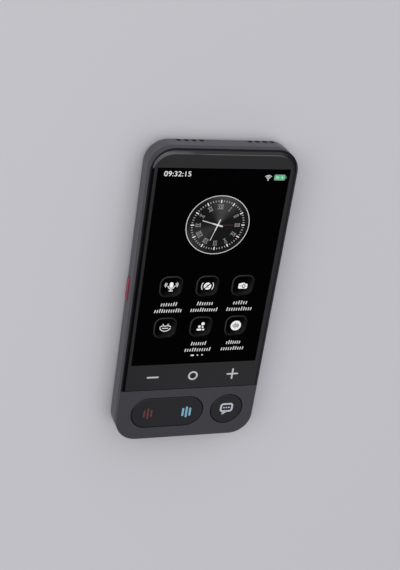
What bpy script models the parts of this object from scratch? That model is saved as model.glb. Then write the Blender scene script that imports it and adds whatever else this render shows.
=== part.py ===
"""Handheld translator, built from its separate pieces.

It lies on its back: X runs across it, Y towards its top end and Z out of its screen. The origin is the
middle of its flat back. All lengths are in metres.
"""

import math

import bmesh
import bpy
from mathutils import Vector

# Clearances, overruns and facets
SEAT_GAP = 0.0003
PIN_PLAY = 0.0001
PRESS_MARGIN = 0.0001
OVERRUN = 0.002
EMBED = 0.0003
MERGE_DISTANCE = 0.000001
CORNER_STEPS = 10
ROUND_STEPS = 32
SMALL_STEPS = 4
SMOOTH_ANGLE = math.radians(35)

# Screen, glass and rim
SCREEN_WIDTH = 0.0524
SCREEN_LENGTH = 0.08265
SIDE_BEZEL = 0.0022
TOP_BEZEL = 0.00745
KEY_BEZEL = 0.0115
GLASS_THICKNESS = 0.0011
GLASS_EDGE_WIDTH = 0.0018
GLASS_EDGE_DROP = 0.0004
GLASS_EDGE_STEPS = 3
GLASS_LEDGE = 0.0009
RIM_WIDTH = 0.00045
CHIN_LENGTH = 0.02295
CORNER_RADIUS = 0.009

# Shells
BACK_ROUND = 0.004
FRONT_ROUND = 0.0003
BACK_WALL = 0.0014
SIDE_WALL = 0.0015
LIP_WIDTH = 0.0008
SEAM_DEPTH = 0.00285
PLATE_THICKNESS = 0.001
CHIN_WALL = 0.0014
CHIN_BAR = 0.0012

# Screen module and touch keys
DISPLAY_THICKNESS = 0.0022
DISPLAY_BORDER = 0.0009
DISPLAY_ROUND = 0.0008
DRIVER_LEDGE = 0.0036
DRIVER_THICKNESS = 0.0014
FLEX_WIDTH = 0.018
FLEX_THICKNESS = 0.0002
FLEX_BEND = 0.0007
FLEX_REACH = 0.007
TOUCH_GUIDE_WIDTH = 0.044
TOUCH_GUIDE_THICKNESS = 0.0011
TOUCH_GUIDE_FOOT = 0.004
TOUCH_WELL_BAR = 0.0006

# Battery, its pad and its leads
PAD_THICKNESS = 0.0004
PAD_MARGIN = 0.004
BATTERY_THICKNESS = 0.0049
BATTERY_ROUND = 0.0016
SIDE_LANE = 0.0044
LEAD_RADIUS = 0.0003
LEAD_SPREAD = 0.0012
LEAD_REACH = 0.0028
CONNECTOR_WIDTH = 0.005
CONNECTOR_LENGTH = 0.0028
CONNECTOR_HEIGHT = 0.0007
CONNECTOR_OFFSET = 0.01

# Boards, their screws and the ribbon between them
BOARD_THICKNESS = 0.0008
MAIN_BOARD_LENGTH = 0.036
SCREW_HEAD_RADIUS = 0.0013
SCREW_HEAD_HEIGHT = 0.0008
SCREW_RADIUS = 0.0006
SCREW_LENGTH = 0.0032
BOSS_RADIUS = 0.002
BOSS_INSET = 0.0042
LINK_WIDTH = 0.0026
LINK_THICKNESS = 0.0002
LINK_OVERLAP = 0.004

# Chips on the main board
CAN_WIDTH = 0.019
CAN_LENGTH = 0.0175
CAN_HEIGHT = 0.0016
CAN_WALL = 0.0002
CHIP_HEIGHT = 0.0007
CHIP_LENGTH = 0.011
MEMORY_WIDTH = 0.0055
RADIO_WIDTH = 0.011
RADIO_LENGTH = 0.0125
RADIO_HEIGHT = 0.0015
ANTENNA_WIDTH = 0.009
ANTENNA_LENGTH = 0.018
ANTENNA_THICKNESS = 0.0002

# Front keys
KEY_CENTRE_SHARE = 0.53
KEY_HEIGHT = 0.0141
KEY_RECESS = 0.00005
KEY_ROUND = 0.0003
KEY_WALL = 0.0009
KEY_FLANGE = 0.0007
KEY_FLANGE_THICKNESS = 0.0006
ROCKER_MARGIN = 0.0055
BUTTON_MARGIN = 0.0048
KEY_SPACING = 0.0031
ROCKER_TILT = math.radians(1.5)
BUTTON_TRAVEL = 0.0003
MARK_INSET = 0.0072
PIN_RADIUS = 0.0005
HINGE_WALL = 0.0006
LUG_WIDTH = 0.001
GUIDE_RADIUS = 0.0031
GUIDE_THICKNESS = 0.001
STEM_RADIUS = 0.001
STEM_LENGTH = 0.0013
SWITCH_WIDTH = 0.0045
SWITCH_BODY = 0.0012
SWITCH_STEM_RADIUS = 0.0008
LED_LENGTH = 0.0016
LED_HEIGHT = 0.0007
LED_OFFSET = 0.004

# Red side key
SIDE_KEY_OFFSET = 0.0022
SIDE_KEY_LENGTH = 0.0098
SIDE_KEY_HEIGHT = 0.0026
SIDE_KEY_Z = 0.0047
SIDE_KEY_PROUD = 0.0003
SIDE_KEY_FLANGE = 0.0004
SIDE_KEY_FLANGE_THICKNESS = 0.0006
SIDE_KEY_NUB = 0.0003
SIDE_KEY_TRAVEL = 0.0003
SIDE_SWITCH_LENGTH = 0.0042
SIDE_SWITCH_HEIGHT = 0.0024
SIDE_SWITCH_DEPTH = 0.001
SIDE_BOARD_LENGTH = 0.011
SIDE_BOARD_THICKNESS = 0.0006

# Speakers, their slots and their cloth
SLOT_COUNT = 4
SLOT_WIDTH = 0.00175
SLOT_HEIGHT = 0.0011
SLOT_PITCH = 0.003
SLOT_Z = 0.0043
LEFT_SLOTS_INSET = 0.01675
RIGHT_SLOTS_INSET = 0.01335
MESH_MARGIN = 0.0006
MESH_THICKNESS = 0.0002
MESH_SETBACK = 0.0005
SPEAKER_LENGTH = 0.008
SPEAKER_HEIGHT = 0.0036
SPEAKER_RECESS = 0.0005

# Charging port, microphone and motor
PORT_WIDTH = 0.0089
PORT_HEIGHT = 0.0032
PORT_LENGTH = 0.0073
PORT_WALL = 0.0003
PORT_DEPTH = 0.0062
PORT_SETBACK = 0.0006
TONGUE_WIDTH = 0.0066
TONGUE_THICKNESS = 0.0007
TONGUE_LENGTH = 0.0045
MIC_WIDTH = 0.003
MIC_LENGTH = 0.0024
MIC_HEIGHT = 0.0009
MIC_HOLE_RADIUS = 0.0004
MIC_OFFSET = 0.0145
MOTOR_RADIUS = 0.004
MOTOR_HEIGHT = 0.0026
MOTOR_ROUND = 0.0003
MOTOR_OFFSET = 0.0135

# Rear camera and lamp
CAMERA_MARGIN = 0.001
CAMERA_SIZE = 0.0085
CAMERA_BASE = 0.0013
BARREL_RADIUS = 0.0028
LENS_RADIUS = 0.0015
LENS_DEPTH = 0.0004
WINDOW_RADIUS = 0.0038
WINDOW_THICKNESS = 0.0006
RING_WIDTH = 0.0011
RING_THICKNESS = 0.0008
RING_ROUND = 0.0002
BACK_RECESS = 0.0001
FLASH_RADIUS = 0.0016
FLASH_OFFSET = 0.0095
FLASH_LED_WIDTH = 0.002

# Outline of the body and of the glass
GLASS_WIDTH = SCREEN_WIDTH + 2 * SIDE_BEZEL
GLASS_LENGTH = TOP_BEZEL + SCREEN_LENGTH + KEY_BEZEL
BODY_WIDTH = GLASS_WIDTH + 2 * (SEAT_GAP + RIM_WIDTH)
BODY_LENGTH = RIM_WIDTH + SEAT_GAP + GLASS_LENGTH + SEAT_GAP + CHIN_LENGTH
TOP_Y = BODY_LENGTH / 2
BOTTOM_Y = -TOP_Y
GLASS_TOP_Y = TOP_Y - RIM_WIDTH - SEAT_GAP
GLASS_BOTTOM_Y = GLASS_TOP_Y - GLASS_LENGTH
SCREEN_TOP_Y = GLASS_TOP_Y - TOP_BEZEL
SCREEN_BOTTOM_Y = SCREEN_TOP_Y - SCREEN_LENGTH
CHIN_TOP_Y = GLASS_BOTTOM_Y - SEAT_GAP
INNER_WIDTH = BODY_WIDTH - 2 * SIDE_WALL
INNER_TOP_Y = TOP_Y - SIDE_WALL
INNER_BOTTOM_Y = -INNER_TOP_Y
INNER_RADIUS = CORNER_RADIUS - SIDE_WALL
SKIRT_INSET = LIP_WIDTH + SEAT_GAP
SKIRT_WIDTH = BODY_WIDTH - 2 * SKIRT_INSET
LEFT_SLOTS_X = -BODY_WIDTH / 2 + LEFT_SLOTS_INSET
RIGHT_SLOTS_X = BODY_WIDTH / 2 - RIGHT_SLOTS_INSET

# Levels from the back to the front
PAD_Z = BACK_WALL + SEAT_GAP
BATTERY_Z = PAD_Z + PAD_THICKNESS + SEAT_GAP
BATTERY_TOP_Z = BATTERY_Z + BATTERY_THICKNESS
PLATE_Z = BATTERY_TOP_Z + SEAT_GAP
PLATE_TOP_Z = PLATE_Z + PLATE_THICKNESS
DISPLAY_Z = PLATE_TOP_Z + SEAT_GAP
SHELF_Z = DISPLAY_Z + DISPLAY_THICKNESS
GLASS_Z = SHELF_Z + SEAT_GAP
FRONT_Z = GLASS_Z + GLASS_THICKNESS
SEAM_Z = FRONT_Z - SEAM_DEPTH
CHIN_UNDER_Z = FRONT_Z - CHIN_WALL
HEAD_TOP_Z = PLATE_Z - SEAT_GAP
BOARD_TOP_Z = HEAD_TOP_Z - SCREW_HEAD_HEIGHT - SEAT_GAP
BOARD_Z = BOARD_TOP_Z - BOARD_THICKNESS
ON_BOARD_Z = BOARD_TOP_Z + SEAT_GAP
UNDER_BOARD_Z = BOARD_Z - SEAT_GAP

# Boards and battery along the body
BOARD_WIDTH = INNER_WIDTH - 2 * SEAT_GAP
BOARD_CORNER = INNER_RADIUS - SEAT_GAP
MESH_BACK_Y = INNER_TOP_Y - MESH_SETBACK - MESH_THICKNESS
SPEAKER_FRONT_Y = MESH_BACK_Y - SEAT_GAP
SPEAKER_BACK_Y = SPEAKER_FRONT_Y - SPEAKER_LENGTH
MAIN_TOP_Y = SPEAKER_BACK_Y - SEAT_GAP
MAIN_BOTTOM_Y = MAIN_TOP_Y - MAIN_BOARD_LENGTH
KEY_BOTTOM_Y = INNER_BOTTOM_Y + SEAT_GAP
DRIVER_BOTTOM_Y = SCREEN_BOTTOM_Y - DRIVER_LEDGE
FLEX_DROP_Y = DRIVER_BOTTOM_Y - SEAT_GAP - FLEX_BEND - FLEX_THICKNESS
KEY_TOP_Y = FLEX_DROP_Y + FLEX_THICKNESS + SEAT_GAP
BATTERY_WIDTH = INNER_WIDTH - 2 * SIDE_LANE
BATTERY_BOTTOM_Y = KEY_TOP_Y + SEAT_GAP
BATTERY_TOP_Y = MAIN_BOTTOM_Y - SEAT_GAP

# Front keys
KEY_Y = BOTTOM_Y + KEY_CENTRE_SHARE * CHIN_LENGTH
KEY_RADIUS = KEY_HEIGHT / 2
BUTTON_X = BODY_WIDTH / 2 - BUTTON_MARGIN - KEY_RADIUS
ROCKER_LEFT_X = -BODY_WIDTH / 2 + ROCKER_MARGIN
ROCKER_RIGHT_X = BUTTON_X - KEY_RADIUS - KEY_SPACING
ROCKER_X = (ROCKER_LEFT_X + ROCKER_RIGHT_X) / 2
ROCKER_HALF = (ROCKER_RIGHT_X - ROCKER_LEFT_X) / 2
MARK_OFFSET = ROCKER_HALF - MARK_INSET
KEY_FACE_Z = FRONT_Z - KEY_RECESS
ROCKER_RISE = math.sin(ROCKER_TILT) * (ROCKER_HALF + KEY_FLANGE)
ROCKER_FLANGE_TOP_Z = CHIN_UNDER_Z - SEAT_GAP - ROCKER_RISE
ROCKER_UNDER_Z = ROCKER_FLANGE_TOP_Z - KEY_FLANGE_THICKNESS
BORE_RADIUS = PIN_RADIUS + PIN_PLAY
HINGE_RADIUS = BORE_RADIUS + HINGE_WALL
PIVOT_Z = ROCKER_UNDER_Z - BORE_RADIUS - EMBED
BUTTON_FLANGE_TOP_Z = CHIN_UNDER_Z - SEAT_GAP
BUTTON_UNDER_Z = BUTTON_FLANGE_TOP_Z - KEY_FLANGE_THICKNESS
GUIDE_TOP_Z = KEY_FACE_Z - KEY_WALL
GUIDE_UNDER_Z = GUIDE_TOP_Z - GUIDE_THICKNESS
STEM_UNDER_Z = ROCKER_UNDER_Z - STEM_LENGTH
LUG_INNER = KEY_RADIUS + KEY_FLANGE + SEAT_GAP
LUG_OUTER = LUG_INNER + LUG_WIDTH

# Rear camera
CAMERA_Y = MAIN_TOP_Y - CAMERA_MARGIN - CAMERA_SIZE / 2
CHIP_ROW_Y = (CAMERA_Y - CAMERA_SIZE / 2 + MAIN_BOTTOM_Y) / 2
RING_RADIUS = WINDOW_RADIUS + SEAT_GAP + RING_WIDTH
RING_STEP_Z = BACK_RECESS + RING_THICKNESS + SEAT_GAP


def clear_scene():
    """Removes every object, so that the file holds only this model."""
    for item in list(bpy.data.objects):
        bpy.data.objects.remove(item, do_unlink=True)


clear_scene()
PARTS = bpy.data.collections.new("handheld_translator")
CUTTERS = bpy.data.collections.new("cutters")
bpy.context.scene.collection.children.link(PARTS)
bpy.context.scene.collection.children.link(CUTTERS)


def span(centre, size):
    """The two ends of a size that is centred on a place."""
    return centre - size / 2, centre + size / 2


def finish(name, colour, roughness, metallic=0.0):
    """A Principled material with one colour, roughness and metallic value."""
    material = bpy.data.materials.new(name)
    material.use_nodes = True
    shader = material.node_tree.nodes["Principled BSDF"]
    shader.inputs["Base Color"].default_value = (*colour, 1.0)
    shader.inputs["Roughness"].default_value = roughness
    shader.inputs["Metallic"].default_value = metallic
    material.diffuse_color = (*colour, 1.0)
    return material


def to_object(name, bm, place):
    """A mesh object made from a bmesh that is drawn round its own origin."""
    bmesh.ops.remove_doubles(bm, verts=bm.verts, dist=MERGE_DISTANCE)
    bmesh.ops.recalc_face_normals(bm, faces=bm.faces)
    mesh = bpy.data.meshes.new(name)
    bm.to_mesh(mesh)
    bm.free()
    mesh.shade_smooth()
    mesh.set_sharp_from_angle(angle=SMOOTH_ANGLE)
    item = bpy.data.objects.new(name, mesh)
    item.location = place
    return item


def round_edges(bm, edges, radius, steps):
    """Bevels edges to a round of the given radius."""
    bmesh.ops.bevel(
        bm,
        geom=edges,
        offset=radius,
        offset_type="OFFSET",
        segments=steps,
        profile=0.5,
        affect="EDGES",
        material=-1,
    )


def block(name, x, y, z, radius=0, axis=2, steps=SMALL_STEPS, low_round=0, high_round=0, rim_steps=2):
    """A block between two places on each axis.

    radius rounds the edges along axis; low_round and high_round round its lower and upper faces' edges.
    """
    bm = bmesh.new()
    bmesh.ops.create_cube(bm, size=1)
    size = Vector((x[1] - x[0], y[1] - y[0], z[1] - z[0]))
    bmesh.ops.scale(bm, vec=size, verts=bm.verts)
    if radius:
        along = [
            edge for edge in bm.edges
            if abs((edge.verts[0].co - edge.verts[1].co)[axis]) > MERGE_DISTANCE
        ]
        round_edges(bm, along, radius, steps)
        bmesh.ops.remove_doubles(bm, verts=bm.verts, dist=MERGE_DISTANCE)
    for height, edge_round in ((-size.z / 2, low_round), (size.z / 2, high_round)):
        if edge_round:
            level = [
                edge for edge in bm.edges
                if all(abs(corner.co.z - height) < MERGE_DISTANCE for corner in edge.verts)
            ]
            round_edges(bm, level, edge_round, rim_steps)
    place = (sum(x) / 2, sum(y) / 2, sum(z) / 2)
    return to_object(name, bm, place)


def rod(name, place, radius, length, axis=2, steps=ROUND_STEPS):
    """A round bar centred on a place, along one axis."""
    bm = bmesh.new()
    bmesh.ops.create_cone(
        bm, cap_ends=True, segments=steps, radius1=radius, radius2=radius, depth=length
    )
    item = to_object(name, bm, place)
    turns = {0: (0, math.pi / 2, 0), 1: (math.pi / 2, 0, 0), 2: (0, 0, 0)}
    item.rotation_euler = turns[axis]
    return item


def turned(name, profile, place, steps=ROUND_STEPS, closed=False):
    """A solid turned about Z, from (radius, height) points that run down its outer side."""
    mesh = bpy.data.meshes.new(name)
    points = [(radius, 0, height) for radius, height in profile]
    edges = [(i, i + 1) for i in range(len(points) - 1)]
    if closed:
        edges.append((len(points) - 1, 0))
    mesh.from_pydata(points, edges, [])
    item = bpy.data.objects.new(name, mesh)
    item.location = place
    screw = item.modifiers.new("turn", "SCREW")
    screw.axis = "Z"
    screw.steps = steps
    screw.render_steps = steps
    screw.use_merge_vertices = True
    screw.merge_threshold = MERGE_DISTANCE
    screw.use_smooth_shade = True
    return item


def rounded_disc(radius, thickness, edge_round, steps=SMALL_STEPS):
    """Profile of a disc from its axis on top to its axis below, with both rims rounded."""
    profile = [(0, thickness)]
    for i in range(steps + 1):
        angle = math.pi / 2 * i / steps
        profile.append((
            radius - edge_round + edge_round * math.sin(angle),
            thickness - edge_round + edge_round * math.cos(angle),
        ))
    for i in range(steps + 1):
        angle = math.pi / 2 * i / steps
        profile.append((
            radius - edge_round + edge_round * math.cos(angle),
            edge_round - edge_round * math.sin(angle),
        ))
    profile.append((0, 0))
    return profile


def part(item, material):
    """Puts a piece among the parts and gives it its material."""
    PARTS.objects.link(item)
    item.data.materials.append(material)
    return item


def combine(target, tool, operation):
    """Adds a Boolean to a piece, with its tool kept out of the render."""
    if not tool.users_collection:
        CUTTERS.objects.link(tool)
    tool.hide_render = True
    tool.display_type = "WIRE"
    boolean = target.modifiers.new(tool.name, "BOOLEAN")
    boolean.operation = operation
    boolean.object = tool
    boolean.solver = "EXACT"


def cut(target, *tools):
    """Cuts each tool out of a piece."""
    for tool in tools:
        combine(target, tool, "DIFFERENCE")


def join(target, *tools):
    """Makes each tool part of a piece."""
    for tool in tools:
        combine(target, tool, "UNION")


def pivot(name, place, *pieces):
    """Hangs pieces on an empty at the place that their joint turns or slides from."""
    empty = bpy.data.objects.new(name, None)
    empty.location = place
    PARTS.objects.link(empty)
    for piece in pieces:
        piece.parent = empty
        piece.location = Vector(piece.location) - Vector(place)


def boss_places():
    """Where the boards' screws stand: four on the main board and four on the key board."""
    reach = BOARD_WIDTH / 2 - BOSS_INSET
    port_side = PORT_WIDTH / 2 + BOSS_INSET
    rows = (
        (reach, MAIN_TOP_Y - BOSS_INSET),
        (reach, MAIN_BOTTOM_Y + BOSS_INSET),
        (reach, KEY_TOP_Y - BOSS_INSET),
        (port_side, KEY_BOTTOM_Y + BOSS_INSET),
    )
    return [(side * x, y) for x, y in rows for side in (-1, 1)]


def slot_places():
    """The x of every speaker slot, from left to right."""
    places = []
    for centre in (LEFT_SLOTS_X, RIGHT_SLOTS_X):
        for i in range(SLOT_COUNT):
            places.append(centre + SLOT_PITCH * (i - (SLOT_COUNT - 1) / 2))
    return places


def make_back_cover():
    """The deep rear shell, with its bosses, openings and speaker slots."""
    top_z = SEAM_Z - SEAT_GAP
    shell = block(
        "back_cover", span(0, BODY_WIDTH), span(0, BODY_LENGTH), (0, top_z),
        radius=CORNER_RADIUS, steps=CORNER_STEPS, low_round=BACK_ROUND, rim_steps=CORNER_STEPS // 2,
    )
    part(shell, finish("shell_grey", (0.085, 0.084, 0.09), 0.55))
    cavity = block(
        "cavity_cut", span(0, INNER_WIDTH), (INNER_BOTTOM_Y, INNER_TOP_Y), (BACK_WALL, top_z + OVERRUN),
        radius=INNER_RADIUS, steps=CORNER_STEPS, low_round=BACK_ROUND - SIDE_WALL, rim_steps=SMALL_STEPS,
    )
    lip = block(
        "lip_cut", span(0, BODY_WIDTH - 2 * LIP_WIDTH), span(0, BODY_LENGTH - 2 * LIP_WIDTH),
        (HEAD_TOP_Z, top_z + OVERRUN), radius=CORNER_RADIUS - LIP_WIDTH, steps=CORNER_STEPS,
    )
    cut(shell, cavity, lip)
    add_bosses(shell)
    cut_wall_openings(shell)
    cut_camera_opening(shell)


def add_bosses(shell):
    """Stands a hollow boss under each board screw."""
    foot_z = BACK_WALL - EMBED
    for i, (x, y) in enumerate(boss_places()):
        height = UNDER_BOARD_Z - foot_z
        boss = rod(f"boss_{i}", (x, y, foot_z + height / 2), BOSS_RADIUS, height, steps=ROUND_STEPS // 2)
        join(shell, boss)
        bore_radius = SCREW_RADIUS + SEAT_GAP
        bore_z = HEAD_TOP_Z - SCREW_HEAD_HEIGHT - SCREW_LENGTH - SEAT_GAP
        bore_length = UNDER_BOARD_Z + OVERRUN - bore_z
        bore = rod(
            f"boss_bore_{i}", (x, y, bore_z + bore_length / 2), bore_radius, bore_length,
            steps=ROUND_STEPS // 2,
        )
        cut(shell, bore)


def cut_wall_openings(shell):
    """Opens the walls for the speakers, the side key, the port and the microphone."""
    through_top = (INNER_TOP_Y - OVERRUN, TOP_Y + OVERRUN)
    for i, x in enumerate(slot_places()):
        slot = block(
            f"slot_cut_{i}", span(x, SLOT_WIDTH), through_top, span(SLOT_Z, SLOT_HEIGHT),
            radius=SLOT_HEIGHT / 2, axis=1,
        )
        cut(shell, slot)
    key_height = SIDE_KEY_HEIGHT + 2 * SEAT_GAP
    side = block(
        "side_key_cut", (-BODY_WIDTH / 2 - OVERRUN, -INNER_WIDTH / 2 + OVERRUN),
        span(SIDE_KEY_OFFSET, SIDE_KEY_LENGTH + 2 * SEAT_GAP), span(SIDE_KEY_Z, key_height),
        radius=key_height / 2, axis=0,
    )
    port_height = PORT_HEIGHT + 2 * SEAT_GAP
    port = block(
        "port_cut", span(0, PORT_WIDTH + 2 * SEAT_GAP), (BOTTOM_Y - OVERRUN, INNER_BOTTOM_Y + OVERRUN),
        span(port_z(), port_height), radius=port_height / 2, axis=1,
    )
    hole = rod(
        "mic_cut", (MIC_OFFSET, INNER_BOTTOM_Y, mic_hole_z()), MIC_HOLE_RADIUS, 2 * (SIDE_WALL + OVERRUN),
        axis=1, steps=ROUND_STEPS // 2,
    )
    cut(shell, side, port, hole)


def cut_camera_opening(shell):
    """Steps the back wall for the camera's ring and window, and for the lamp's lens."""
    ring_seat = rod(
        "ring_seat_cut", (0, CAMERA_Y, (RING_STEP_Z - OVERRUN) / 2),
        RING_RADIUS + SEAT_GAP, RING_STEP_Z + OVERRUN,
    )
    sight = rod(
        "sight_cut", (0, CAMERA_Y, BACK_WALL), BARREL_RADIUS + SEAT_GAP, 2 * BACK_WALL,
    )
    lens_seat = rod(
        "lens_seat_cut", (FLASH_OFFSET, CAMERA_Y, (RING_STEP_Z - OVERRUN) / 2),
        FLASH_RADIUS + SEAT_GAP, RING_STEP_Z + OVERRUN, steps=ROUND_STEPS // 2,
    )
    lamp_way = rod(
        "lamp_way_cut", (FLASH_OFFSET, CAMERA_Y, BACK_WALL), FLASH_RADIUS - SEAT_GAP, 2 * BACK_WALL,
        steps=ROUND_STEPS // 2,
    )
    cut(shell, ring_seat, sight, lens_seat, lamp_way)


def make_front_frame():
    """The front ring with the rim, the plate behind the screen and the chin with its key openings."""
    frame = block(
        "front_frame", span(0, BODY_WIDTH), span(0, BODY_LENGTH), (SEAM_Z, FRONT_Z),
        radius=CORNER_RADIUS, steps=CORNER_STEPS, high_round=FRONT_ROUND,
    )
    part(frame, finish("frame_grey", (0.055, 0.054, 0.06), 0.5))
    skirt = block(
        "skirt", span(0, SKIRT_WIDTH), span(0, BODY_LENGTH - 2 * SKIRT_INSET), (PLATE_Z, SEAM_Z + EMBED),
        radius=CORNER_RADIUS - SKIRT_INSET, steps=CORNER_STEPS,
    )
    join(frame, skirt)
    half_well = GLASS_WIDTH / 2 + SEAT_GAP
    glass_well = block(
        "glass_well_cut", (-half_well, half_well), (CHIN_TOP_Y, GLASS_TOP_Y + SEAT_GAP),
        (SHELF_Z, FRONT_Z + OVERRUN),
    )
    trim_top_corners(glass_well, CORNER_RADIUS - RIM_WIDTH)
    well_half = SCREEN_WIDTH / 2 + DISPLAY_BORDER + SEAT_GAP
    display_well = block(
        "display_well_cut", (-well_half, well_half),
        (DRIVER_BOTTOM_Y - SEAT_GAP, SCREEN_TOP_Y + DISPLAY_BORDER + SEAT_GAP),
        (PLATE_TOP_Z, FRONT_Z), radius=DISPLAY_ROUND + SEAT_GAP, steps=SMALL_STEPS,
    )
    touch_well = block(
        "touch_well_cut", span(0, TOUCH_GUIDE_WIDTH + 2 * SEAT_GAP),
        (CHIN_TOP_Y + GLASS_LEDGE, DRIVER_BOTTOM_Y), (PLATE_TOP_Z, FRONT_Z),
    )
    flex_slot = block(
        "flex_slot_cut", span(0, FLEX_WIDTH + 2 * SEAT_GAP),
        span(FLEX_DROP_Y, FLEX_THICKNESS + 2 * SEAT_GAP), (PLATE_Z - OVERRUN, PLATE_TOP_Z + EMBED),
    )
    chin_inner = SIDE_WALL + SEAT_GAP
    chin_room = block(
        "chin_room_cut", span(0, BODY_WIDTH - 2 * chin_inner),
        (BOTTOM_Y + chin_inner, CHIN_TOP_Y - CHIN_BAR), (PLATE_Z - OVERRUN, CHIN_UNDER_Z),
    )
    trim_bottom_corners(chin_room, CORNER_RADIUS - chin_inner)
    cut(frame, glass_well, display_well, touch_well, flex_slot, chin_room)
    add_rocker_lugs(frame)
    cut_key_openings(frame)


def trim_corners(item, radius, upper):
    """Rounds the two upright edges of a block at its upper or its lower end."""
    bm = bmesh.new()
    bm.from_mesh(item.data)
    side = 1 if upper else -1
    edges = [
        edge for edge in bm.edges
        if all(corner.co.y * side > 0 for corner in edge.verts)
        and abs(edge.verts[0].co.z - edge.verts[1].co.z) > MERGE_DISTANCE
    ]
    round_edges(bm, edges, radius, CORNER_STEPS)
    bmesh.ops.recalc_face_normals(bm, faces=bm.faces)
    bm.to_mesh(item.data)
    bm.free()


def trim_top_corners(item, radius):
    """Rounds a block's two corners at the top end of the body."""
    trim_corners(item, radius, upper=True)


def trim_bottom_corners(item, radius):
    """Rounds a block's two corners at the bottom end of the body."""
    trim_corners(item, radius, upper=False)


def add_rocker_lugs(frame):
    """Two lugs under the chin, with a bore for the rocker's pin."""
    lug_z = PIVOT_Z - HINGE_RADIUS
    for side, name in ((1, "upper"), (-1, "lower")):
        y = sorted((KEY_Y + side * LUG_INNER, KEY_Y + side * LUG_OUTER))
        lug = block(
            f"lug_{name}", span(ROCKER_X, 2 * HINGE_RADIUS), y, (lug_z, CHIN_UNDER_Z + EMBED)
        )
        join(frame, lug)
    bore = rod(
        "lug_bore_cut", (ROCKER_X, KEY_Y, PIVOT_Z), BORE_RADIUS, 2 * LUG_OUTER + EMBED,
        axis=1, steps=ROUND_STEPS // 2,
    )
    cut(frame, bore)


def cut_key_openings(frame):
    """Opens the chin for the rocker and for the round key."""
    through = (CHIN_UNDER_Z - EMBED, FRONT_Z + OVERRUN)
    rocker_hole = block(
        "rocker_hole_cut", (ROCKER_LEFT_X, ROCKER_RIGHT_X), span(KEY_Y, KEY_HEIGHT), through,
        radius=KEY_RADIUS, steps=CORNER_STEPS,
    )
    length = through[1] - through[0]
    button_hole = rod(
        "button_hole_cut", (BUTTON_X, KEY_Y, sum(through) / 2), KEY_RADIUS, length, steps=4 * CORNER_STEPS,
    )
    cut(frame, rocker_hole, button_hole)


def make_cover_glass():
    """The panel over the screen, whose left, top and right edges slope down to the rim."""
    bm = bmesh.new()
    bmesh.ops.create_cube(bm, size=1)
    length = GLASS_LENGTH + 2 * GLASS_EDGE_WIDTH
    side_height = GLASS_THICKNESS - GLASS_EDGE_DROP
    bmesh.ops.scale(bm, vec=(GLASS_WIDTH, length, side_height), verts=bm.verts)
    centre_y = GLASS_TOP_Y - length / 2
    bmesh.ops.translate(bm, vec=(0, centre_y, GLASS_Z + side_height / 2), verts=bm.verts)
    top_corners = [
        edge for edge in bm.edges
        if edge.verts[0].co.y > centre_y and abs(edge.verts[0].co.z - edge.verts[1].co.z) > MERGE_DISTANCE
    ]
    round_edges(bm, top_corners, CORNER_RADIUS - RIM_WIDTH - SEAT_GAP, CORNER_STEPS)
    bm.faces.ensure_lookup_table()
    face = max(bm.faces, key=lambda item: item.calc_center_median().z)
    for i in range(GLASS_EDGE_STEPS):
        start = math.pi / 2 * i / GLASS_EDGE_STEPS
        end = math.pi / 2 * (i + 1) / GLASS_EDGE_STEPS
        bmesh.ops.inset_region(
            bm,
            faces=[face],
            thickness=GLASS_EDGE_WIDTH * (math.cos(start) - math.cos(end)),
            depth=GLASS_EDGE_DROP * (math.sin(end) - math.sin(start)),
            use_even_offset=True,
            use_boundary=True,
        )
    everything = bm.verts[:] + bm.edges[:] + bm.faces[:]
    bmesh.ops.bisect_plane(
        bm, geom=everything, plane_co=(0, GLASS_BOTTOM_Y, 0), plane_no=(0, -1, 0), clear_outer=True
    )
    rim = [edge for edge in bm.edges if edge.is_boundary]
    bmesh.ops.contextual_create(bm, geom=rim)
    glass = to_object("cover_glass", bm, (0, 0, 0))
    part(glass, finish("glass_dark", (0.02, 0.02, 0.023), 0.12))


def make_display():
    """The screen module with its thin driver edge, its ribbon and the touch keys' light guide."""
    half = SCREEN_WIDTH / 2 + DISPLAY_BORDER
    panel = block(
        "display_module", (-half, half), (SCREEN_BOTTOM_Y, SCREEN_TOP_Y + DISPLAY_BORDER),
        (DISPLAY_Z, SHELF_Z), radius=DISPLAY_ROUND,
    )
    part(panel, finish("screen_black", (0.004, 0.004, 0.005), 0.2))
    ledge = block(
        "driver_ledge", span(0, 2 * (half - DISPLAY_ROUND)),
        (DRIVER_BOTTOM_Y, SCREEN_BOTTOM_Y + DISPLAY_ROUND),
        (DISPLAY_Z + EMBED, DISPLAY_Z + EMBED + DRIVER_THICKNESS),
    )
    join(panel, ledge)
    make_display_flex()
    guide_bottom = CHIN_TOP_Y + GLASS_LEDGE + TOUCH_WELL_BAR
    guide_top = DRIVER_BOTTOM_Y - SEAT_GAP
    guide = block(
        "touch_key_guide", span(0, TOUCH_GUIDE_WIDTH), (guide_bottom, guide_top), (DISPLAY_Z, SHELF_Z)
    )
    part(guide, finish("guide_milky", (0.62, 0.63, 0.66), 0.35))
    relief = block(
        "guide_relief_cut", span(0, TOUCH_GUIDE_WIDTH - 2 * TOUCH_GUIDE_FOOT),
        (guide_bottom - OVERRUN, guide_top + OVERRUN),
        (DISPLAY_Z - OVERRUN, SHELF_Z - TOUCH_GUIDE_THICKNESS),
    )
    cut(guide, relief)


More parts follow.
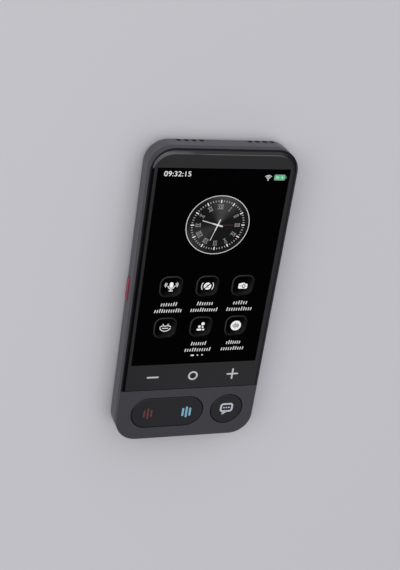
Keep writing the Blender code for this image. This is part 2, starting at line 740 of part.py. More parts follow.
def bent_path(corners, radius, steps=SMALL_STEPS):
    """Points along a broken line whose inner corners are replaced by arcs."""
    points = [Vector(corners[0])]
    for before, corner, after in zip(corners, corners[1:], corners[2:]):
        corner = Vector(corner)
        to_before = (Vector(before) - corner).normalized()
        to_after = (Vector(after) - corner).normalized()
        half_angle = to_before.angle(to_after) / 2
        reach = radius / math.tan(half_angle)
        centre = corner + (to_before + to_after).normalized() * radius / math.sin(half_angle)
        start = corner + to_before * reach - centre
        end = corner + to_after * reach - centre
        for i in range(steps + 1):
            points.append(centre + start.slerp(end, i / steps).normalized() * radius)
    points.append(Vector(corners[-1]))
    return points


def ribbon(name, path, width, thickness):
    """A flat ribbon that follows a path in a plane of constant x."""
    bm = bmesh.new()
    row = [bm.verts.new(point - Vector((width / 2, 0, 0))) for point in path]
    edges = [bm.edges.new(pair) for pair in zip(row, row[1:])]
    made = bmesh.ops.extrude_edge_only(bm, edges=edges)["geom"]
    fresh = [item for item in made if isinstance(item, bmesh.types.BMVert)]
    bmesh.ops.translate(bm, vec=(width, 0, 0), verts=fresh)
    item = to_object(name, bm, (0, 0, 0))
    shell = item.modifiers.new("thickness", "SOLIDIFY")
    shell.thickness = thickness
    shell.offset = 0
    shell.use_even_offset = True
    return item


def make_display_flex():
    """The screen's ribbon: off the driver edge, down through the plate and onto the key board."""
    start_y = DRIVER_BOTTOM_Y - SEAT_GAP
    start_z = DISPLAY_Z + FLEX_THICKNESS
    end_z = ON_BOARD_Z + FLEX_THICKNESS / 2
    corners = [
        (0, start_y, start_z),
        (0, FLEX_DROP_Y, start_z),
        (0, FLEX_DROP_Y, end_z),
        (0, FLEX_DROP_Y - FLEX_REACH, end_z),
    ]
    flex = ribbon("display_flex", bent_path(corners, FLEX_BEND), FLEX_WIDTH, FLEX_THICKNESS)
    part(flex, finish("flex_amber", (0.35, 0.16, 0.04), 0.4))


def make_rocker():
    """The pill-shaped key on its pin, with the light guides that press its switches."""
    cap = block(
        "talk_rocker", (ROCKER_LEFT_X + SEAT_GAP, ROCKER_RIGHT_X - SEAT_GAP),
        span(KEY_Y, KEY_HEIGHT - 2 * SEAT_GAP), (ROCKER_UNDER_Z + EMBED, KEY_FACE_Z),
        radius=KEY_RADIUS - SEAT_GAP, steps=CORNER_STEPS, high_round=KEY_ROUND,
    )
    part(cap, finish("key_black", (0.03, 0.03, 0.034), 0.4))
    flange = block(
        "rocker_flange", (ROCKER_LEFT_X - KEY_FLANGE, ROCKER_RIGHT_X + KEY_FLANGE),
        span(KEY_Y, KEY_HEIGHT + 2 * KEY_FLANGE), (ROCKER_UNDER_Z, ROCKER_FLANGE_TOP_Z),
        radius=KEY_RADIUS + KEY_FLANGE, steps=CORNER_STEPS,
    )
    rib = block(
        "rocker_rib", span(ROCKER_X, 2 * HINGE_RADIUS), span(KEY_Y, KEY_HEIGHT),
        (PIVOT_Z - HINGE_RADIUS, ROCKER_UNDER_Z + EMBED), radius=HINGE_RADIUS / 2, axis=1,
    )
    join(cap, flange, rib)
    bore = rod(
        "rocker_bore_cut", (ROCKER_X, KEY_Y, PIVOT_Z), BORE_RADIUS, 2 * LUG_OUTER,
        axis=1, steps=ROUND_STEPS // 2,
    )
    cut(cap, bore)
    pin = rod(
        "rocker_pin", (ROCKER_X, KEY_Y, PIVOT_Z), PIN_RADIUS, 2 * LUG_OUTER, axis=1, steps=ROUND_STEPS // 2
    )
    part(pin, finish("pin_steel", (0.6, 0.6, 0.6), 0.25, 1.0))
    marks = (
        ("red_light_guide", -1, finish("tint_red", (0.5, 0.08, 0.06), 0.3)),
        ("blue_light_guide", 1, finish("tint_blue", (0.25, 0.5, 0.8), 0.3)),
    )
    guides = [
        add_light_guide(cap, name, ROCKER_X + side * MARK_OFFSET, ROCKER_UNDER_Z, tint)
        for name, side, tint in marks
    ]
    pivot("rocker_pivot", (ROCKER_X, KEY_Y, PIVOT_Z), cap, *guides)


def add_light_guide(cap, name, x, under_z, tint):
    """Opens a pocket under a key's cap and fills it with a light guide whose stem presses a switch."""
    pocket_top = GUIDE_TOP_Z + SEAT_GAP
    pocket_low = under_z - OVERRUN
    pocket = rod(
        f"{name}_pocket_cut", (x, KEY_Y, (pocket_low + pocket_top) / 2),
        GUIDE_RADIUS + SEAT_GAP, pocket_top - pocket_low,
    )
    cut(cap, pocket)
    profile = [
        (0, GUIDE_TOP_Z),
        (GUIDE_RADIUS, GUIDE_TOP_Z),
        (GUIDE_RADIUS, GUIDE_UNDER_Z),
        (STEM_RADIUS, GUIDE_UNDER_Z),
        (STEM_RADIUS, STEM_UNDER_Z),
        (0, STEM_UNDER_Z),
    ]
    return part(turned(name, profile, (x, KEY_Y, 0)), tint)


def make_round_button():
    """The round key, its light guide and its place on its slide axis."""
    profile = [(0, KEY_FACE_Z)]
    radius = KEY_RADIUS - SEAT_GAP
    for i in range(SMALL_STEPS + 1):
        angle = math.pi / 2 * i / SMALL_STEPS
        profile.append((
            radius - KEY_ROUND + KEY_ROUND * math.sin(angle),
            KEY_FACE_Z - KEY_ROUND + KEY_ROUND * math.cos(angle),
        ))
    profile += [
        (radius, BUTTON_FLANGE_TOP_Z),
        (KEY_RADIUS + KEY_FLANGE, BUTTON_FLANGE_TOP_Z),
        (KEY_RADIUS + KEY_FLANGE, BUTTON_UNDER_Z),
        (0, BUTTON_UNDER_Z),
    ]
    cap = turned("assistant_button", profile, (BUTTON_X, KEY_Y, 0), steps=4 * CORNER_STEPS)
    part(cap, finish("round_key_black", (0.028, 0.028, 0.033), 0.4))
    tint = finish("tint_white", (0.6, 0.65, 0.8), 0.3)
    guide = add_light_guide(cap, "assistant_light_guide", BUTTON_X, BUTTON_UNDER_Z, tint)
    pivot("button_slide", (BUTTON_X, KEY_Y, 0), cap, guide)


def make_key_switches():
    """A tact switch under each light guide's stem, and a lamp beside it."""
    rocker_drop = math.sin(ROCKER_TILT) * (MARK_OFFSET + STEM_RADIUS)
    stations = (
        ("talk_switch_left", "red_led", ROCKER_X - MARK_OFFSET, rocker_drop),
        ("talk_switch_right", "blue_led", ROCKER_X + MARK_OFFSET, rocker_drop),
        ("assistant_switch", "assistant_led", BUTTON_X, BUTTON_TRAVEL),
    )
    body_finish = finish("switch_metal", (0.55, 0.54, 0.5), 0.35, 1.0)
    led_finish = finish("led_resin", (0.8, 0.78, 0.6), 0.3)
    for switch_name, led_name, x, drop in stations:
        stem_top = STEM_UNDER_Z - drop - PRESS_MARGIN
        body_top = ON_BOARD_Z + SWITCH_BODY
        switch = block(
            switch_name, span(x, SWITCH_WIDTH), span(KEY_Y, SWITCH_WIDTH), (ON_BOARD_Z, body_top),
            radius=SWITCH_STEM_RADIUS / 2, steps=2,
        )
        stem_low = body_top - EMBED
        stem = rod(
            switch_name + "_stem", (x, KEY_Y, (stem_low + stem_top) / 2), SWITCH_STEM_RADIUS,
            stem_top - stem_low, steps=ROUND_STEPS // 2,
        )
        join(switch, stem)
        part(switch, body_finish)
        led = block(
            led_name, span(x + LED_OFFSET, LED_LENGTH), span(KEY_Y, LED_LENGTH),
            (ON_BOARD_Z, ON_BOARD_Z + LED_HEIGHT),
        )
        part(led, led_finish)


def make_side_key():
    """The red key in the left wall, its switch and the small board that carries the switch."""
    outer_x = -BODY_WIDTH / 2 - SIDE_KEY_PROUD
    flange_x = -INNER_WIDTH / 2 + SEAT_GAP
    flange_end_x = flange_x + SIDE_KEY_FLANGE_THICKNESS
    nub_x = flange_end_x + SIDE_KEY_NUB
    key = block(
        "side_button", (outer_x, flange_end_x - EMBED), span(SIDE_KEY_OFFSET, SIDE_KEY_LENGTH),
        span(SIDE_KEY_Z, SIDE_KEY_HEIGHT), radius=SIDE_KEY_HEIGHT / 2, axis=0, steps=CORNER_STEPS // 2,
    )
    part(key, finish("side_key_red", (0.42, 0.035, 0.05), 0.4))
    flange = block(
        "side_key_flange", (flange_x, flange_end_x),
        span(SIDE_KEY_OFFSET, SIDE_KEY_LENGTH + 2 * SIDE_KEY_FLANGE),
        span(SIDE_KEY_Z, SIDE_KEY_HEIGHT + 2 * SIDE_KEY_FLANGE),
        radius=SIDE_KEY_HEIGHT / 2, axis=0,
    )
    nub = block(
        "side_key_nub", (flange_end_x - EMBED, nub_x), span(SIDE_KEY_OFFSET, SIDE_KEY_HEIGHT),
        span(SIDE_KEY_Z, SIDE_KEY_HEIGHT / 2),
    )
    join(key, flange, nub)
    pivot("side_key_slide", (outer_x, SIDE_KEY_OFFSET, SIDE_KEY_Z), key)
    switch_x = nub_x + SIDE_KEY_TRAVEL + PRESS_MARGIN
    switch = block(
        "side_switch", (switch_x, switch_x + SIDE_SWITCH_DEPTH), span(SIDE_KEY_OFFSET, SIDE_SWITCH_LENGTH),
        span(SIDE_KEY_Z, SIDE_SWITCH_HEIGHT),
    )
    part(switch, finish("side_switch_metal", (0.5, 0.5, 0.48), 0.35, 1.0))
    board_x = switch_x + SIDE_SWITCH_DEPTH + SEAT_GAP
    board = block(
        "side_key_board", (board_x, board_x + SIDE_BOARD_THICKNESS),
        span(SIDE_KEY_OFFSET, SIDE_BOARD_LENGTH), (PAD_Z, HEAD_TOP_Z),
    )
    part(board, finish("side_board_black", (0.02, 0.025, 0.02), 0.45))


def make_boards():
    """The main board, the key board, the ribbon that links them and the screws that hold them."""
    level = (BOARD_Z, BOARD_TOP_Z)
    main = block(
        "main_board", span(0, BOARD_WIDTH), (MAIN_BOTTOM_Y, MAIN_TOP_Y), level, radius=BOSS_RADIUS / 2
    )
    part(main, finish("board_green", (0.02, 0.09, 0.04), 0.4))
    keys = block("key_board", span(0, BOARD_WIDTH), (KEY_BOTTOM_Y, KEY_TOP_Y), level)
    trim_bottom_corners(keys, BOARD_CORNER)
    part(keys, finish("key_board_green", (0.02, 0.08, 0.04), 0.4))
    port_bay = block(
        "port_bay_cut", span(0, PORT_WIDTH + 2 * SEAT_GAP),
        (KEY_BOTTOM_Y - OVERRUN, port_front_y() + PORT_LENGTH + SEAT_GAP),
        (BOARD_Z - OVERRUN, BOARD_TOP_Z + OVERRUN),
    )
    cut(keys, port_bay)
    for i, (x, y) in enumerate(boss_places()):
        hole = rod(
            f"screw_hole_{i}", (x, y, (BOARD_Z + BOARD_TOP_Z) / 2), SCREW_RADIUS + SEAT_GAP,
            BOARD_THICKNESS + 2 * OVERRUN, steps=ROUND_STEPS // 2,
        )
        cut(main if y > 0 else keys, hole)
    make_screws()
    link_x = BOARD_WIDTH / 2 - SEAT_GAP - LINK_WIDTH / 2
    link_path = [Vector((0, KEY_TOP_Y - LINK_OVERLAP, 0)), Vector((0, MAIN_BOTTOM_Y + LINK_OVERLAP, 0))]
    link = ribbon("board_link_flex", link_path, LINK_WIDTH, LINK_THICKNESS)
    link.location = (link_x, 0, ON_BOARD_Z + LINK_THICKNESS / 2)
    part(link, finish("link_amber", (0.33, 0.15, 0.04), 0.4))


def make_screws():
    """One screw over each boss, all of them sharing a mesh."""
    profile = [
        (0, 0),
        (SCREW_HEAD_RADIUS, 0),
        (SCREW_HEAD_RADIUS, -SCREW_HEAD_HEIGHT),
        (SCREW_RADIUS, -SCREW_HEAD_HEIGHT),
        (SCREW_RADIUS, -SCREW_HEAD_HEIGHT - SCREW_LENGTH),
        (0, -SCREW_HEAD_HEIGHT - SCREW_LENGTH),
    ]
    steel = finish("screw_steel", (0.5, 0.5, 0.52), 0.3, 1.0)
    shared = None
    for i, (x, y) in enumerate(boss_places()):
        screw = turned(f"board_screw_{i + 1}", profile, (x, y, HEAD_TOP_Z), steps=ROUND_STEPS // 2)
        if shared is None:
            shared = part(screw, steel).data
        else:
            spare = screw.data
            screw.data = shared
            bpy.data.meshes.remove(spare)
            PARTS.objects.link(screw)


def make_main_board_parts():
    """The processor and memory under their shield, the radio, and the antenna on the back wall."""
    inner_x = -BOARD_WIDTH / 2 + BOSS_INSET + BOSS_RADIUS + SEAT_GAP
    can_x = (inner_x, inner_x + CAN_WIDTH)
    can_z = (UNDER_BOARD_Z - CAN_HEIGHT, UNDER_BOARD_Z)
    can = block("shield_can", can_x, span(CHIP_ROW_Y, CAN_LENGTH), can_z)
    part(can, finish("can_tin", (0.62, 0.62, 0.6), 0.3, 1.0))
    room = block(
        "can_room_cut", (can_x[0] + CAN_WALL, can_x[1] - CAN_WALL),
        span(CHIP_ROW_Y, CAN_LENGTH - 2 * CAN_WALL),
        (UNDER_BOARD_Z - CAN_HEIGHT + CAN_WALL, UNDER_BOARD_Z + OVERRUN),
    )
    cut(can, room)
    chip_z = (UNDER_BOARD_Z - CHIP_HEIGHT, UNDER_BOARD_Z)
    chip_low = can_x[0] + CAN_WALL + SEAT_GAP
    chip_y = span(CHIP_ROW_Y, CHIP_LENGTH)
    memory_high = can_x[1] - CAN_WALL - SEAT_GAP
    processor = block("processor", (chip_low, memory_high - MEMORY_WIDTH - SEAT_GAP), chip_y, chip_z)
    part(processor, finish("chip_black", (0.02, 0.02, 0.02), 0.5))
    memory = block("memory_chip", (memory_high - MEMORY_WIDTH, memory_high), chip_y, chip_z)
    part(memory, finish("memory_black", (0.025, 0.025, 0.025), 0.5))
    outer_x = -inner_x
    radio = block(
        "wireless_module", (outer_x - RADIO_WIDTH, outer_x), span(CHIP_ROW_Y, RADIO_LENGTH),
        (UNDER_BOARD_Z - RADIO_HEIGHT, UNDER_BOARD_Z),
    )
    part(radio, finish("radio_tin", (0.6, 0.6, 0.58), 0.35, 1.0))
    antenna = block(
        "wifi_antenna", (outer_x - ANTENNA_WIDTH, outer_x), span(CHIP_ROW_Y, ANTENNA_LENGTH),
        (PAD_Z, PAD_Z + ANTENNA_THICKNESS),
    )
    part(antenna, finish("antenna_black", (0.03, 0.03, 0.03), 0.5))


def make_battery():
    """The pouch cell on its foam pad, its two leads and their connector on the main board."""
    battery_y = (BATTERY_BOTTOM_Y, BATTERY_TOP_Y)
    cell = block(
        "battery", span(0, BATTERY_WIDTH), battery_y, (BATTERY_Z, BATTERY_TOP_Z),
        radius=BATTERY_ROUND, axis=1,
    )
    part(cell, finish("battery_foil", (0.35, 0.35, 0.36), 0.35, 0.6))
    pad = block(
        "battery_pad", span(0, BATTERY_WIDTH - 2 * PAD_MARGIN),
        (battery_y[0] + PAD_MARGIN, battery_y[1] - PAD_MARGIN), (PAD_Z, PAD_Z + PAD_THICKNESS),
    )
    part(pad, finish("pad_black", (0.03, 0.03, 0.03), 0.9))
    lead_z = ON_BOARD_Z + LEAD_RADIUS
    lead_start = BATTERY_TOP_Y + SEAT_GAP
    connector_y = lead_start + LEAD_REACH + SEAT_GAP
    connector = block(
        "battery_connector", span(CONNECTOR_OFFSET, CONNECTOR_WIDTH),
        (connector_y, connector_y + CONNECTOR_LENGTH), (ON_BOARD_Z, ON_BOARD_Z + CONNECTOR_HEIGHT),
    )
    part(connector, finish("connector_white", (0.75, 0.73, 0.68), 0.5))
    leads = (
        ("battery_lead_positive", 1, finish("sleeve_red", (0.5, 0.03, 0.03), 0.5)),
        ("battery_lead_negative", -1, finish("sleeve_black", (0.02, 0.02, 0.02), 0.5)),
    )
    for name, side, sleeve in leads:
        end_x = CONNECTOR_OFFSET + side * LEAD_SPREAD
        start_x = end_x + side * LEAD_SPREAD
        lead = make_lead(name, (start_x, lead_start, lead_z), (end_x, lead_start + LEAD_REACH, lead_z))
        part(lead, sleeve)


def make_lead(name, start, end):
    """A short wire that leaves and arrives straight and sways sideways in between."""
    curve = bpy.data.curves.new(name, "CURVE")
    curve.dimensions = "3D"
    curve.bevel_depth = LEAD_RADIUS
    curve.bevel_resolution = 2
    curve.use_fill_caps = True
    spline = curve.splines.new("POLY")
    count = 2 * SMALL_STEPS
    spline.points.add(count)
    for i, point in enumerate(spline.points):
        share = i / count
        sway = (1 - math.cos(math.pi * share)) / 2
        place = (
            start[0] + (end[0] - start[0]) * sway,
            start[1] + (end[1] - start[1]) * share,
            start[2],
        )
        point.co = (*place, 1)
    return bpy.data.objects.new(name, curve)


def make_speakers():
    """A speaker box and its cloth behind each group of slots."""
    cloth_width = SLOT_PITCH * (SLOT_COUNT - 1) + SLOT_WIDTH + 2 * MESH_MARGIN
    cloth_finish = finish("cloth_black", (0.012, 0.012, 0.012), 0.9)
    box_finish = finish("speaker_black", (0.03, 0.03, 0.032), 0.5)
    for name, x in (("left", LEFT_SLOTS_X), ("right", RIGHT_SLOTS_X)):
        cloth = block(
            f"speaker_mesh_{name}", span(x, cloth_width), (MESH_BACK_Y, MESH_BACK_Y + MESH_THICKNESS),
            span(SLOT_Z, SLOT_HEIGHT + MESH_MARGIN),
        )
        part(cloth, cloth_finish)
        box = block(
            f"speaker_{name}", span(x, cloth_width), (SPEAKER_BACK_Y, SPEAKER_FRONT_Y),
            span(SLOT_Z, SPEAKER_HEIGHT), radius=SPEAKER_RECESS, steps=2,
        )
        part(box, box_finish)
        recess = block(
            f"speaker_recess_{name}", span(x, cloth_width - 4 * MESH_MARGIN),
            (SPEAKER_FRONT_Y - SPEAKER_RECESS, SPEAKER_FRONT_Y + OVERRUN),
            span(SLOT_Z, SPEAKER_HEIGHT - 2 * MESH_MARGIN), radius=SPEAKER_RECESS, axis=1,
        )
        cut(box, recess)


def port_z():
    """The middle of the charging port, level with the key board that it is sunk into."""
    return (BOARD_Z + BOARD_TOP_Z) / 2


def port_front_y():
    """The y of the port's mouth."""
    return BOTTOM_Y + PORT_SETBACK


def mic_hole_z():
    """The height of the microphone's pinhole, in front of the microphone and below the lip."""
    return HEAD_TOP_Z - SEAT_GAP - MIC_HOLE_RADIUS


def make_port():
    """The charging socket: an oval metal shell, open at the wall, with a tongue in it."""
    y = (port_front_y(), port_front_y() + PORT_LENGTH)
    shell = block(
        "charging_port", span(0, PORT_WIDTH), y, span(port_z(), PORT_HEIGHT), radius=PORT_HEIGHT / 2, axis=1
    )
    part(shell, finish("port_steel", (0.55, 0.55, 0.55), 0.3, 1.0))
    mouth_height = PORT_HEIGHT - 2 * PORT_WALL
    mouth = block(
        "port_mouth_cut", span(0, PORT_WIDTH - 2 * PORT_WALL), (y[0] - OVERRUN, y[0] + PORT_DEPTH),
        span(port_z(), mouth_height), radius=mouth_height / 2, axis=1,
    )
    cut(shell, mouth)
    tongue = block(
        "port_tongue", span(0, TONGUE_WIDTH), (y[0] + PORT_DEPTH - TONGUE_LENGTH, y[0] + PORT_DEPTH + EMBED),
        span(port_z(), TONGUE_THICKNESS),
    )
    join(shell, tongue)


def make_small_parts():
    """The microphone on the key board and the vibration motor on the back wall."""
    mic = block(
        "microphone", span(MIC_OFFSET, MIC_WIDTH), (KEY_BOTTOM_Y, KEY_BOTTOM_Y + MIC_LENGTH),
        (ON_BOARD_Z, ON_BOARD_Z + MIC_HEIGHT),
    )
    part(mic, finish("mic_tin", (0.6, 0.58, 0.5), 0.3, 1.0))
    motor = turned(
        "vibration_motor", rounded_disc(MOTOR_RADIUS, MOTOR_HEIGHT, MOTOR_ROUND, steps=2),
        (-MOTOR_OFFSET, (KEY_TOP_Y + KEY_BOTTOM_Y) / 2, PAD_Z),
    )
    part(motor, finish("motor_steel", (0.55, 0.55, 0.56), 0.3, 1.0))


def make_camera():
    """The rear camera behind its ring and window, and the lamp behind its lens."""
    base_z = UNDER_BOARD_Z - CAMERA_BASE
    window_top = BACK_RECESS + WINDOW_THICKNESS
    base = block(
        "camera_module", span(0, CAMERA_SIZE), span(CAMERA_Y, CAMERA_SIZE), (base_z, UNDER_BOARD_Z)
    )
    part(base, finish("camera_black", (0.025, 0.025, 0.027), 0.4))
    barrel_low = window_top + SEAT_GAP
    barrel = rod(
        "camera_barrel", (0, CAMERA_Y, (barrel_low + base_z + EMBED) / 2), BARREL_RADIUS,
        base_z + EMBED - barrel_low,
    )
    join(base, barrel)
    eye = rod("camera_eye_cut", (0, CAMERA_Y, barrel_low), LENS_RADIUS, 2 * LENS_DEPTH)
    cut(base, eye)
    window = turned(
        "camera_window", rounded_disc(WINDOW_RADIUS, WINDOW_THICKNESS, RING_ROUND / 2, steps=1),
        (0, CAMERA_Y, BACK_RECESS),
    )
    part(window, finish("window_glass", (0.02, 0.02, 0.03), 0.08))
    inner = WINDOW_RADIUS + SEAT_GAP
    ring_profile = [
        (inner, RING_THICKNESS),
        (RING_RADIUS, RING_THICKNESS),
        (RING_RADIUS, RING_ROUND),
        (RING_RADIUS - RING_ROUND, 0),
        (inner + RING_ROUND, 0),
        (inner, RING_ROUND),
    ]
    ring = turned("camera_ring", ring_profile, (0, CAMERA_Y, BACK_RECESS), closed=True)
    part(ring, finish("ring_dark_metal", (0.12, 0.12, 0.13), 0.3, 1.0))
    lens = turned(
        "flash_lens", rounded_disc(FLASH_RADIUS, RING_THICKNESS, RING_ROUND / 2, steps=1),
        (FLASH_OFFSET, CAMERA_Y, BACK_RECESS), steps=ROUND_STEPS // 2,
    )
    part(lens, finish("flash_clear", (0.8, 0.8, 0.75), 0.2))
    led = block(
        "flash_led", span(FLASH_OFFSET, FLASH_LED_WIDTH), span(CAMERA_Y, FLASH_LED_WIDTH),
        (UNDER_BOARD_Z - LED_HEIGHT, UNDER_BOARD_Z),
    )
    part(led, finish("flash_yellow", (0.8, 0.7, 0.15), 0.4))


def main():
    """Builds the shells, the screen, the keys, the electronics and the camera."""
    make_back_cover()
    make_front_frame()
    make_cover_glass()
    make_display()
    make_rocker()
    make_round_button()
    make_key_switches()
    make_side_key()
    make_boards()
    make_main_board_parts()
    make_battery()
    make_speakers()
    make_port()
    make_small_parts()
    make_camera()


main()
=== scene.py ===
"""Looks of the handheld translator: its finishes, fine pieces, light and camera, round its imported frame.

It lies on its back: X runs across it, Y towards its top end and Z out of its screen. Lengths are in metres.
"""

import logging
import math
from dataclasses import dataclass, replace
from enum import Enum
from typing import Any, Callable, Iterable, Sequence

import bmesh
import bpy
from mathutils import Matrix, Vector


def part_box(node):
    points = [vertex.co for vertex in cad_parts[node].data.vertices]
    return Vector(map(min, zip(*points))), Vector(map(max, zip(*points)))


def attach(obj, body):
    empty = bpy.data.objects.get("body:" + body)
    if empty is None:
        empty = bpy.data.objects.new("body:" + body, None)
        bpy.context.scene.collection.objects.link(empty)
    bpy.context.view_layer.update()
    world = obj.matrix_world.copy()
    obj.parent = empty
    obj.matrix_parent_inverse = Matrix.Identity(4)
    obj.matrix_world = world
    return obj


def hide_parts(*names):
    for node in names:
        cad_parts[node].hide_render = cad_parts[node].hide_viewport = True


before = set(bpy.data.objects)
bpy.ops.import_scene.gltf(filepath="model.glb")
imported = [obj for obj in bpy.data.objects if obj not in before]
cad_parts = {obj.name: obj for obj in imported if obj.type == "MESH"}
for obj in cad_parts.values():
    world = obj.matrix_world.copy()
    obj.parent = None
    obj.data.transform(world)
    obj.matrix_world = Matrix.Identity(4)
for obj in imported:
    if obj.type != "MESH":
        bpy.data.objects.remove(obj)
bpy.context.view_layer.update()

Triple = tuple[float, float, float]
Colour = Triple
Spot = tuple[float, float]
LOG = logging.getLogger("handheld_translator")

BLACK: Colour = (0.0, 0.0, 0.0)
WHITE: Colour = (1.0, 1.0, 1.0)
MERGE = 0.0000005
SMOOTH_ANGLE = math.radians(32)
CORNER_STEPS = 24
FINE_STEPS = 6
TURN_STEPS = 96


class Body(Enum):
    """The bodies that the pieces ride on."""

    HOUSING = "housing"
    ROCKER = "rocker"
    ROUND_KEY = "round_key"
    SIDE_KEY = "side_key"


class Slot(Enum):
    """The record's material slots."""

    SHELL = "shell"
    FRAME = "frame"
    GLASS = "glass"
    SCREEN = "screen"
    KEY = "key"
    SIDE_KEY = "side_key"
    GUIDE = "guide"
    STEEL = "steel"
    RING = "ring"
    CLOTH = "cloth"


def shade(level: float, tint: Colour = WHITE) -> Colour:
    """Turns a display level from 0 to 255 into a linear colour.

    Args:
        level: The level that the colour has on a display.
        tint: How much of that level each channel has.

    Returns:
        The colour in linear light.
    """
    knee, slope, offset, power = 0.04045, 12.92, 0.055, 2.4
    shares = [level * part / 255 for part in tint]
    return tuple(
        share / slope if share <= knee else ((share + offset) / (1 + offset)) ** power for share in shares
    )


def dimmed(colour: Colour, share: float) -> Colour:
    """A share of a colour."""
    return tuple(part * share for part in colour)


def placed(name: str, data: bpy.types.ID) -> bpy.types.Object:
    """Makes an object of a mesh, lamp, camera or text, and links it to the scene."""
    item = bpy.data.objects.new(name, data)
    bpy.context.scene.collection.objects.link(item)
    return item


def meshed(name: str, bm: bmesh.types.BMesh) -> bpy.types.Mesh:
    """Turns a bmesh into a mesh and frees it."""
    mesh = bpy.data.meshes.new(name)
    bm.to_mesh(mesh)
    bm.free()
    return mesh


def absorb(bm: bmesh.types.BMesh, part: bmesh.types.BMesh) -> None:
    """Puts a part into a bmesh and frees the part."""
    spare = meshed("spare", part)
    bm.from_mesh(spare)
    bpy.data.meshes.remove(spare)


def arithmetic(operation: str, swapped: bool = False) -> Callable[["Value", "Value | float"], "Value"]:
    """Makes an arithmetic method for Value.

    Args:
        operation: The Math node's operation.
        swapped: Whether the operands change places, as a reflected operator needs.

    Returns:
        The method.
    """

    def method(self: "Value", other: "Value | float") -> "Value":
        """Adds the Math node."""
        first, second = (other, self) if swapped else (self, other)
        return self.graph.math(operation, first, second)

    return method


class Value:
    """A node's output, with arithmetic that adds Math nodes."""

    __add__ = __radd__ = arithmetic("ADD")
    __sub__ = arithmetic("SUBTRACT")
    __rsub__ = arithmetic("SUBTRACT", swapped=True)
    __mul__ = __rmul__ = arithmetic("MULTIPLY")
    __truediv__ = arithmetic("DIVIDE")
    __pow__ = arithmetic("POWER")
    __mod__ = arithmetic("FLOORED_MODULO")
    __gt__ = arithmetic("GREATER_THAN")
    __lt__ = arithmetic("LESS_THAN")

    def __init__(self, graph: "Graph", socket: bpy.types.NodeSocket | None) -> None:
        """Keeps the output and the graph that it belongs to."""
        self.graph = graph
        self.socket = socket

    def size(self) -> "Value":
        """Its distance from zero."""
        return self.graph.math("ABSOLUTE", self)

    def from_middle(self, pitch: float) -> "Value":
        """Its distance from the middle of its strip, in strips of a pitch: from zero to a half."""
        return ((self / pitch) % 1.0 - 0.5).size()

    def between(self, low: float, high: float) -> "Value":
        """Rises smoothly from zero at low to one at high."""
        settings = {"interpolation_type": "SMOOTHSTEP"}
        return self.graph.node("ShaderNodeMapRange", settings, {0: self, 1: low, 2: high})


class Graph:
    """The node tree of a material or of the world."""

    def __init__(self, owner: bpy.types.ID) -> None:
        """Empties the owner's node tree."""
        owner.use_nodes = True
        self.tree = owner.node_tree
        self.tree.nodes.clear()

    def node(self, kind: str, settings: dict[str, Any] | None = None,
             inputs: dict[int | str, Any] | None = None, output: int | str = 0) -> Value:
        """Adds a node.

        Args:
            kind: The node's type.
            settings: Its own settings, and a ramp's stops, each a place and a grey level. Such a ramp
                runs smoothly from stop to stop.
            inputs: Values or links for its sockets.
            output: Which of its outputs is wanted.

        Returns:
            That output.
        """
        item = self.tree.nodes.new(kind)
        settings = dict(settings or {})
        for i, (place, level) in enumerate(settings.pop("stops", ())):
            item.color_ramp.interpolation = "EASE"
            stops = item.color_ramp.elements
            stop = stops[i] if i < len(stops) else stops.new(place)
            stop.position = place
            stop.color = (level, level, level, 1.0)
        for name, setting in settings.items():
            setattr(item, name, setting)
        for key, given in (inputs or {}).items():
            socket = item.inputs[key]
            if isinstance(given, Value):
                self.tree.links.new(given.socket, socket)
            elif socket.type == "RGBA" and len(given) == 3:
                socket.default_value = (*given, 1.0)
            else:
                socket.default_value = given
        return Value(self, item.outputs[output] if item.outputs else None)

    def math(self, operation: str, first: Value | float, second: Value | float | None = None) -> Value:
        """One Math node on values or numbers."""
        inputs = {0: first} if second is None else {0: first, 1: second}
        return self.node("ShaderNodeMath", {"operation": operation}, inputs)

    def mix(self, factor: Value | float, first: Value | Colour, second: Value | Colour) -> Value:
        """A colour from first, at factor zero, to second, at one."""
        return self.node("ShaderNodeMix", {"data_type": "RGBA"}, {0: factor, 6: first, 7: second}, 2)

    def place(self) -> Value:
        """The place on the piece, in metres."""
        return self.node("ShaderNodeTexCoord", output="Object")

    def axes(self, place: Value | None = None) -> tuple[Value, Value, Value]:
        """The three coordinates of a place."""
        outputs = self.node("ShaderNodeSeparateXYZ", None, {0: place or self.place()}).socket.node.outputs
        return tuple(Value(self, outputs[i]) for i in range(3))

    def stretched(self, scale: Sequence[float], turn: Sequence[float] = (0.0, 0.0, 0.0)) -> Value:
        """The place with each axis scaled and turned, for a pattern with a direction."""
        inputs = {"Vector": self.place(), "Scale": scale, "Rotation": turn}
        return self.node("ShaderNodeMapping", None, inputs)

    def noise(self, size: float, detail: float = 2.0, place: Value | None = None) -> Value:
        """Soft random cells of the given size in metres, from zero to one."""
        inputs = {"Vector": place or self.place(), "Scale": 1 / size, "Detail": detail}
        return self.node("ShaderNodeTexNoise", None, inputs)

    def cells(self, size: float, feature: str = "F1") -> Value:
        """Distance from the nearest of random points that are the given size apart."""
        inputs = {"Vector": self.place(), "Scale": 1 / size}
        return self.node("ShaderNodeTexVoronoi", {"feature": feature}, inputs)

    def bump(self, height: Value, distance: float) -> Value:
        """A normal that follows a height from zero to one, which stands for distance."""
        inputs = {"Strength": 1.0, "Distance": distance, "Height": height}
        return self.node("ShaderNodeBump", None, inputs)


